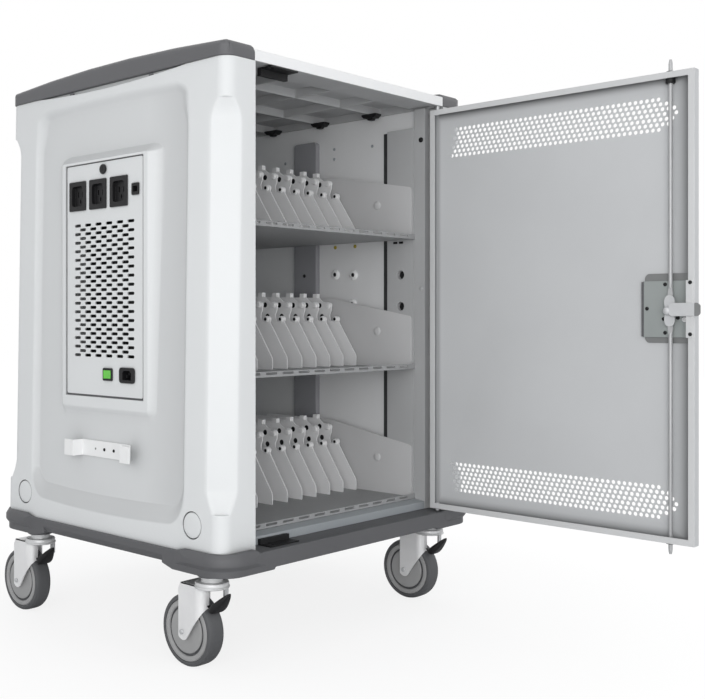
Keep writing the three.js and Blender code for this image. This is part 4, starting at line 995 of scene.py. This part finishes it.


# The side panels' moulding carries painted shade in its hollows, deeper in its dish and on up-facing slopes.
panel_moulding = finish("panel_moulding", (0.775, 0.79, 0.795), (0.75, 0.765, 0.77), 0.46, 800.0, 0.1,
                        (0.8, 0.81, 0.815), patch=4.0, edge=0.002, shade_reach=0.06, shade_factor=0.5)
shaded_by(panel_moulding, dish_shade_group(), (0.6, 0.61, 0.615))
COVER = [(0.0, 4.4), (12.0, 4.3), (19.5, 4.0), (21.2, 3.5), (21.9, 2.6), (22.0, 0.0), (0.0, 0.0)]
for hand, sign in (("left", -1), ("right", 1)):
    bm = bmesh.new()
    side_panel(bm, sign, hand == "left")
    lean_here = 341 + LEAN * (1033 - 252)
    mesh = perforated(hand + "_panel", closed_mesh(hand + "_panel", bm, panel_moulding, 38.0),
                      [(sign * lean_here, y, 252) for y in (-250, 250)], 23.6, 48, 8.0, panel_moulding)
    if hand == "left":
        mesh = perforated("strike_pocket", mesh, [(-273.6, -291.5, 614)], 16.0, 32, 21.2, panel_moulding)
        mesh = perforated("lock_pocket", mesh, [(-312.5, 0, 874)], 30.0, 48, 8.0, panel_moulding)
    shown(hand + "_panel", mesh, "cart", hand + "_side_panel")
    for end, y in (("front", -250), ("rear", 250)):
        # A black ring round each bolt cover: painted shadow in the groove about the cover.
        bm = bmesh.new()
        turned(bm, [(21.4, -1.6), (23.3, -1.6), (23.3, 0.6), (21.4, 0.6)], at(sign * (lean_here - 3.0), y, 252),
               (sign, 0, LEAN), 48)
        shown(f"{hand}_{end}_cover_seal", closed_mesh("cover_seal", bm, black_nylon), "cart")
        bm = bmesh.new()
        turned(bm, COVER, at(sign * (lean_here - 3.9), y, 252), (sign, 0, LEAN), 48, closed=False)
        shown(f"{hand}_{end}_cover", closed_mesh("cover", bm, pale_moulding), "cart", f"{hand}_bolt_cover_{end}")

bm = bmesh.new()
for y in (112, -125, -243):
    block(bm, -340.6, -335.2, y - 4.5, y + 4.5, 1027.6, 1030.8)
shown("left_cap_hooks", closed_mesh("left_cap_hooks", bm, dark_moulding), "cart")

# Top caps: arched dark mouldings over the panel tops, which also serve as push handles.
cap_moulding = finish("cap_moulding", (0.12, 0.121, 0.128), (0.107, 0.108, 0.114), 0.5, 850.0, 0.16,
                      (0.2, 0.2, 0.21), patch=6.0, edge=0.002)
softened("left_top_cap", 2.2, cap_moulding, 3)
softened("right_top_cap", 2.2, cap_moulding, 3)

# Power plate: a pale plate on a hinge, punched with a staggered vent and cut for three outlets, a
# data port, a rocker switch and a mains inlet, with a lock at the top and a cord wrap below.
green_rocker = finish("green_rocker", (0.17, 0.64, 0.09), (0.14, 0.55, 0.075), 0.25, 700.0, 0.03,
                      (0.3, 0.66, 0.24), patch=30.0)


def cutout(y, z, half_y, half_z):
    return [(y - half_y, z - half_z), (y + half_y, z - half_z), (y + half_y, z + half_z), (y - half_y, z + half_z)]


bm = bmesh.new()
cut_sheet(bm, eased(cutout(0, 672, 113.4, 215.4), 4.0),
          [cutout(y, 829.5, 23.3, 25.3) for y in (79, 16.5, -46)]
          + [cutout(-94, 830, 8.3, 8.8), cutout(-13.5, 496, 12.3, 9.8), cutout(-70, 496, 16.3, 11.8),
             round_hole(0, 874, 7.3, 20)],
          lambda u, v, face: at((-348.5, -346.0)[face], u, v))
plate = grown("vented_plate", closed_mesh("vented_plate", bm, pale_moulding), PUNCHED_SLOTS, columns=6, rows=16,
              pitch_across=0.032, pitch_up=0.01626, slot_length=0.0196, slot_width=0.006, staggered=True,
              turn=(math.pi / 2, 0.0, math.pi / 2), shift=tuple(at(-347, 0, 651.95)), finish=pale_moulding)
shown("vented_plate", plate, "power_panel", "power_plate")
# A dark frame behind the plate's edge: painted shadow that shows as a dark line round the plate.
bm = bmesh.new()
cut_sheet(bm, cutout(0, 671.25, 116.3, 218.0), [cutout(0, 675.5, 107, 208)],
          lambda u, v, face: at((-346.6, -345.75)[face], u, v))
shown("plate_gasket", closed_mesh("plate_gasket", bm, dark_moulding), "cart")
bm = bmesh.new()
block(bm, -310.2, -309.05, -105.8, 105.8, 466.3, 884.8)
shown("plate_housing", closed_mesh("plate_housing", bm, black_nylon), "cart")
for node in ("outlet_1", "outlet_2", "outlet_3", "data_port", "power_inlet", "switch_frame"):
    softened(node, 0.5, black_nylon)
softened("rocker", 0.6, green_rocker)
softened("panel_lock", 0.5, black_nylon)
case_grey = finish("case_grey", (0.23, 0.235, 0.235), (0.2, 0.205, 0.205), 0.55, 500.0, 0.06,
                   (0.3, 0.3, 0.3), metal=0.1, patch=14.0, edge=0.0008)
softened("cord_wrap", 0.6, white_nylon)
lean_here = -332.9 - LEAN * (1033 - 356)
fastened("cord_wrap_screws", "cart", 3.0, black_nylon,
         [((lean_here, y, 356), (-1, 0, 0)) for y in (3, -25)])
fastened("cord_wrap_rivets", "cart", 1.9, case_grey,
         [((lean_here, y, 356), (-1, 0, 0)) for y in (30, -52)])

# Door: a folded steel pan with two perforated bands, hung on two pins, with a plated lock plate,
# a cam that draws two latch rods, nylon bushes and catches, and a turn handle outside.
door_paint = finish("door_paint", (0.62, 0.63, 0.64), (0.59, 0.6, 0.61), 0.55, 620.0, 0.09,
                    (0.68, 0.69, 0.7), patch=4.0, edge=0.001)


def pan_shade_group():
    """A painted-shade mask that grows towards the folds inside the door pan, widest along the free edge, where the rims
    cast their shade.
    """
    group = bpy.data.node_groups.new("pan_corners", "ShaderNodeTree")
    group.interface.new_socket("Mask", in_out="OUTPUT", socket_type="NodeSocketFloat")
    place = add_node(group, "ShaderNodeTexCoord")
    part = add_node(group, "ShaderNodeSeparateXYZ", {0: place.outputs["Object"]})
    inner = add_node(group, "ShaderNodeMapRange", {"Value": part.outputs["X"], "From Min": 0.2694, "From Max": 0.269})
    mask = None
    for axis, fold, reach in (("Y", -0.828, 0.03), ("Y", -0.308, -0.012), ("Z", 1.0165, -0.018), ("Z", 0.2185, 0.018)):
        near = add_node(group, "ShaderNodeMapRange", {"Value": part.outputs[axis], "From Min": fold + reach,
                                                      "From Max": fold})
        steep = add_node(group, "ShaderNodeMath", {0: near.outputs[0], 1: 1.5}, operation="POWER").outputs[0]
        mask = steep if mask is None else add_node(group, "ShaderNodeMath", {0: mask, 1: steep},
                                                   operation="MAXIMUM").outputs[0]
    for limit, low, high in (("Y", -0.8462, -0.8457), ("Y", -0.307, -0.3075), ("Z", 1.0222, 1.0216), ("Z", 0.2128, 0.2134)):
        within = add_node(group, "ShaderNodeMapRange", {"Value": part.outputs[limit], "From Min": low, "From Max": high})
        mask = add_node(group, "ShaderNodeMath", {0: mask, 1: within.outputs[0]}, operation="MULTIPLY").outputs[0]
    mask = add_node(group, "ShaderNodeMath", {0: mask, 1: inner.outputs[0]}, operation="MULTIPLY")
    result = group.nodes.new("NodeGroupOutput")
    group.links.new(mask.outputs[0], result.inputs["Mask"])
    return group


# Painted shade darkens the door's inner skin next to its folded rims.
shaded_by(door_paint, pan_shade_group(), (0.25, 0.255, 0.26))
holes = []
for base_z, row_pitch, slant in ((929.0, 8.83, 1), (251.5, 8.67, -1)):
    for row in range(7):
        rise = row / 6 if slant > 0 else 1 - row / 6
        y = 345 + 10 * rise + (5.25 if row % 2 else 0.0)
        while y <= 784 + 28 * (1 - (abs(row - 3) / 3) ** 2):
            holes.append((269.6, -y, base_z + row * row_pitch))
            y += 10.5
# The door pan's rim faces get a lighter copy of the door paint: painted light where the rim catches more light than the
# skin.
rim_paint = finish("rim_paint", (0.66, 0.665, 0.67), (0.63, 0.635, 0.64), 0.5, 620.0, 0.09,
                   (0.8, 0.8, 0.805), patch=4.0, edge=0.001)
door_mesh = perforated("door_pan", softened_mesh("door_shell", 0.8, door_paint), holes, 3.75, 12, 8.0, door_paint)
flat_shaded(door_mesh)
door_mesh.materials.append(rim_paint)
for face in door_mesh.polygons:
    if face.center.x < 0.2482:
        face.material_index = 1
shown("door_pan", door_mesh, "door", "door_shell")
for node in ("upper_hinge_pin", "lower_hinge_pin"):
    softened(node, 0.4, zinc)

lock_grey = finish("lock_grey", (0.335, 0.36, 0.355), (0.31, 0.335, 0.33), 0.55, 500.0, 0.06,
                   (0.45, 0.46, 0.46), metal=0.1, patch=14.0, edge=0.0008)
plate_mesh = softened_mesh("lock_plate", 0.4, lock_grey)
# The lock plate's flange over the rim takes the same lighter paint: painted light.
plate_mesh.materials.append(rim_paint)
for face in plate_mesh.polygons:
    if face.center.x < 0.2475:
        face.material_index = 1
shown("lock_plate_body", plate_mesh, "door", "lock_plate")
bm = bmesh.new()
cut_sheet(bm, eased([(-836, 556), (-757, 556), (-752, 562), (-752, 671), (-757, 677), (-836, 677)], 3.0, 3),
          [round_hole(-801.2, 612, 6.5, 20)], lambda u, v, face: at((266.0, 268.4)[face], u, v))
shown("lock_case", closed_mesh("lock_case", bm, case_grey), "door")

CAM = [(6.4, 0), (8.4, 8), (9.6, 16), (7.6, 23.5), (3, 27), (-3, 27), (-7.6, 23.5), (-9.6, 16), (-8.4, 8), (-6.4, 0),
       (-8.4, -8), (-9.6, -16), (-7.6, -23.5), (-3, -27), (3, -27), (7.6, -23.5), (9.6, -16), (8.4, -8)]
bm = bmesh.new()
cut_sheet(bm, eased(CAM, 4.0, 3), [], lambda u, v, face: at((253.7, 256.5)[face], -801.2 + u, 612 + v))
turned(bm, [(0.0, 256.0), (5.0, 256.0), (5.0, 278.0), (0.0, 278.0)], at(0, -801.2, 612), (1, 0, 0), 20, closed=False)
turned(bm, [(0.0, 239.9), (3.0, 240.1), (5.6, 241.2), (6.8, 243.0), (7.6, 245.4), (7.8, 254.5), (0.0, 254.5)],
       at(0, -801.2, 612), (1, 0, 0), 28, closed=False)
shown("latch_cam_body", closed_mesh("latch_cam_body", bm, zinc), "door_latch", "latch_cam")
bm = bmesh.new()
cut_sheet(bm, eased([(-4, -6), (-4, 10), (-8, 13), (-49, 13), (-49, -9), (-8, -9)], 2.0, 3), [],
          lambda u, v, face: at((240.7, 243.5)[face], -801.2 + u, 612 + v))
shown("latch_tongue", rounded_mesh("latch_tongue", bm, 0.4, zinc), "door_latch")
bm = bmesh.new()
cut_sheet(bm, eased([(-48.6, 12.9), (-54, 12.9), (-58, 8.9), (-58, -4.9), (-54, -8.9), (-48.6, -8.9)], 1.5, 3), [],
          lambda u, v, face: at((240.6, 243.6)[face], -801.2 + u, 612 + v))
shown("tongue_tip", rounded_mesh("tongue_tip", bm, 0.4, case_grey), "door_latch")

rod_zinc = finish("rod_zinc", (0.5, 0.505, 0.51), (0.46, 0.465, 0.47), 0.45, 420.0, 0.05,
                  (0.58, 0.58, 0.585), metal=0.25, patch=22.0, edge=0.001)
PADDLE = [(-3.2, 44), (-3.2, 38), (-4.4, 31), (-4.4, 25.4), (-3.0, 23.4), (3.0, 23.4), (4.4, 25.4), (4.4, 31), (3.2, 38), (3.2, 44)]
for rod, up, tip in (("upper", 1, 434.0), ("lower", -1, 420.0)):
    bm = bmesh.new()
    cut_sheet(bm, eased(PADDLE, 3.0, 3), [], lambda u, v, face, up=up: at((257.2, 260.0)[face], -801.2 + u, 612 + up * v))
    turned(bm, [(0.0, 38.0), (2.4, 38.0), (3.2, 40.5), (3.6, 44.0), (3.6, tip - 9), (3.2, tip - 5), (2.2, tip - 0.4),
                (0.0, tip)], at(258.6, -801.2, 612), (0, 0, up), 24, closed=False)
    shown(rod + "_rod_body", closed_mesh(rod + "_rod_body", bm, rod_zinc), rod + "_rod", rod + "_latch_rod")
for node in ("upper_rod_bush", "lower_rod_bush", "upper_latch_catch", "lower_latch_catch"):
    softened(node, 0.5, black_nylon)
bm = bmesh.new()
turned(bm, [(4.5, 1004.5), (7.6, 1004.5), (8.4, 1005.5), (8.4, 1014.0), (4.5, 1014.0)], at(258.6, -801.2, 0), (0, 0, 1), 24)
shown("upper_rod_guide", closed_mesh("upper_rod_guide", bm, black_nylon), "door")
softened("door_handle", 1.6, dark_moulding, 3)
fastened("lock_screws", "door", 3.4, black_nylon,
         [((263.6, y, z), (-1, 0, 0)) for y, z in ((-757, 616), (-789.5, 658), (-789.5, 574), (-787, 598), (-812, 600))]
         + [((244.3, y, z), (-1, 0, 0)) for y, z in ((-841, 660), (-841, 572))])
fastened("lock_pin", "door", 5.0, fork_zinc, [((263.4, -824, 597), (-1, 0, 0))])
# A dark block along the plate's hinge-side edge: painted shade where the turned-back edge lies in shadow.
bm = bmesh.new()
block(bm, 262.9, 268.2, -751.2, -747.0, 567, 663)
shown("lock_plate_return", closed_mesh("lock_plate_return", bm, dark_moulding), "door")

# The parts that were copied are dropped.
for pattern in (screw_head, divider, clip_grommet, strip_socket, top_clip):
    bpy.data.objects.remove(pattern)
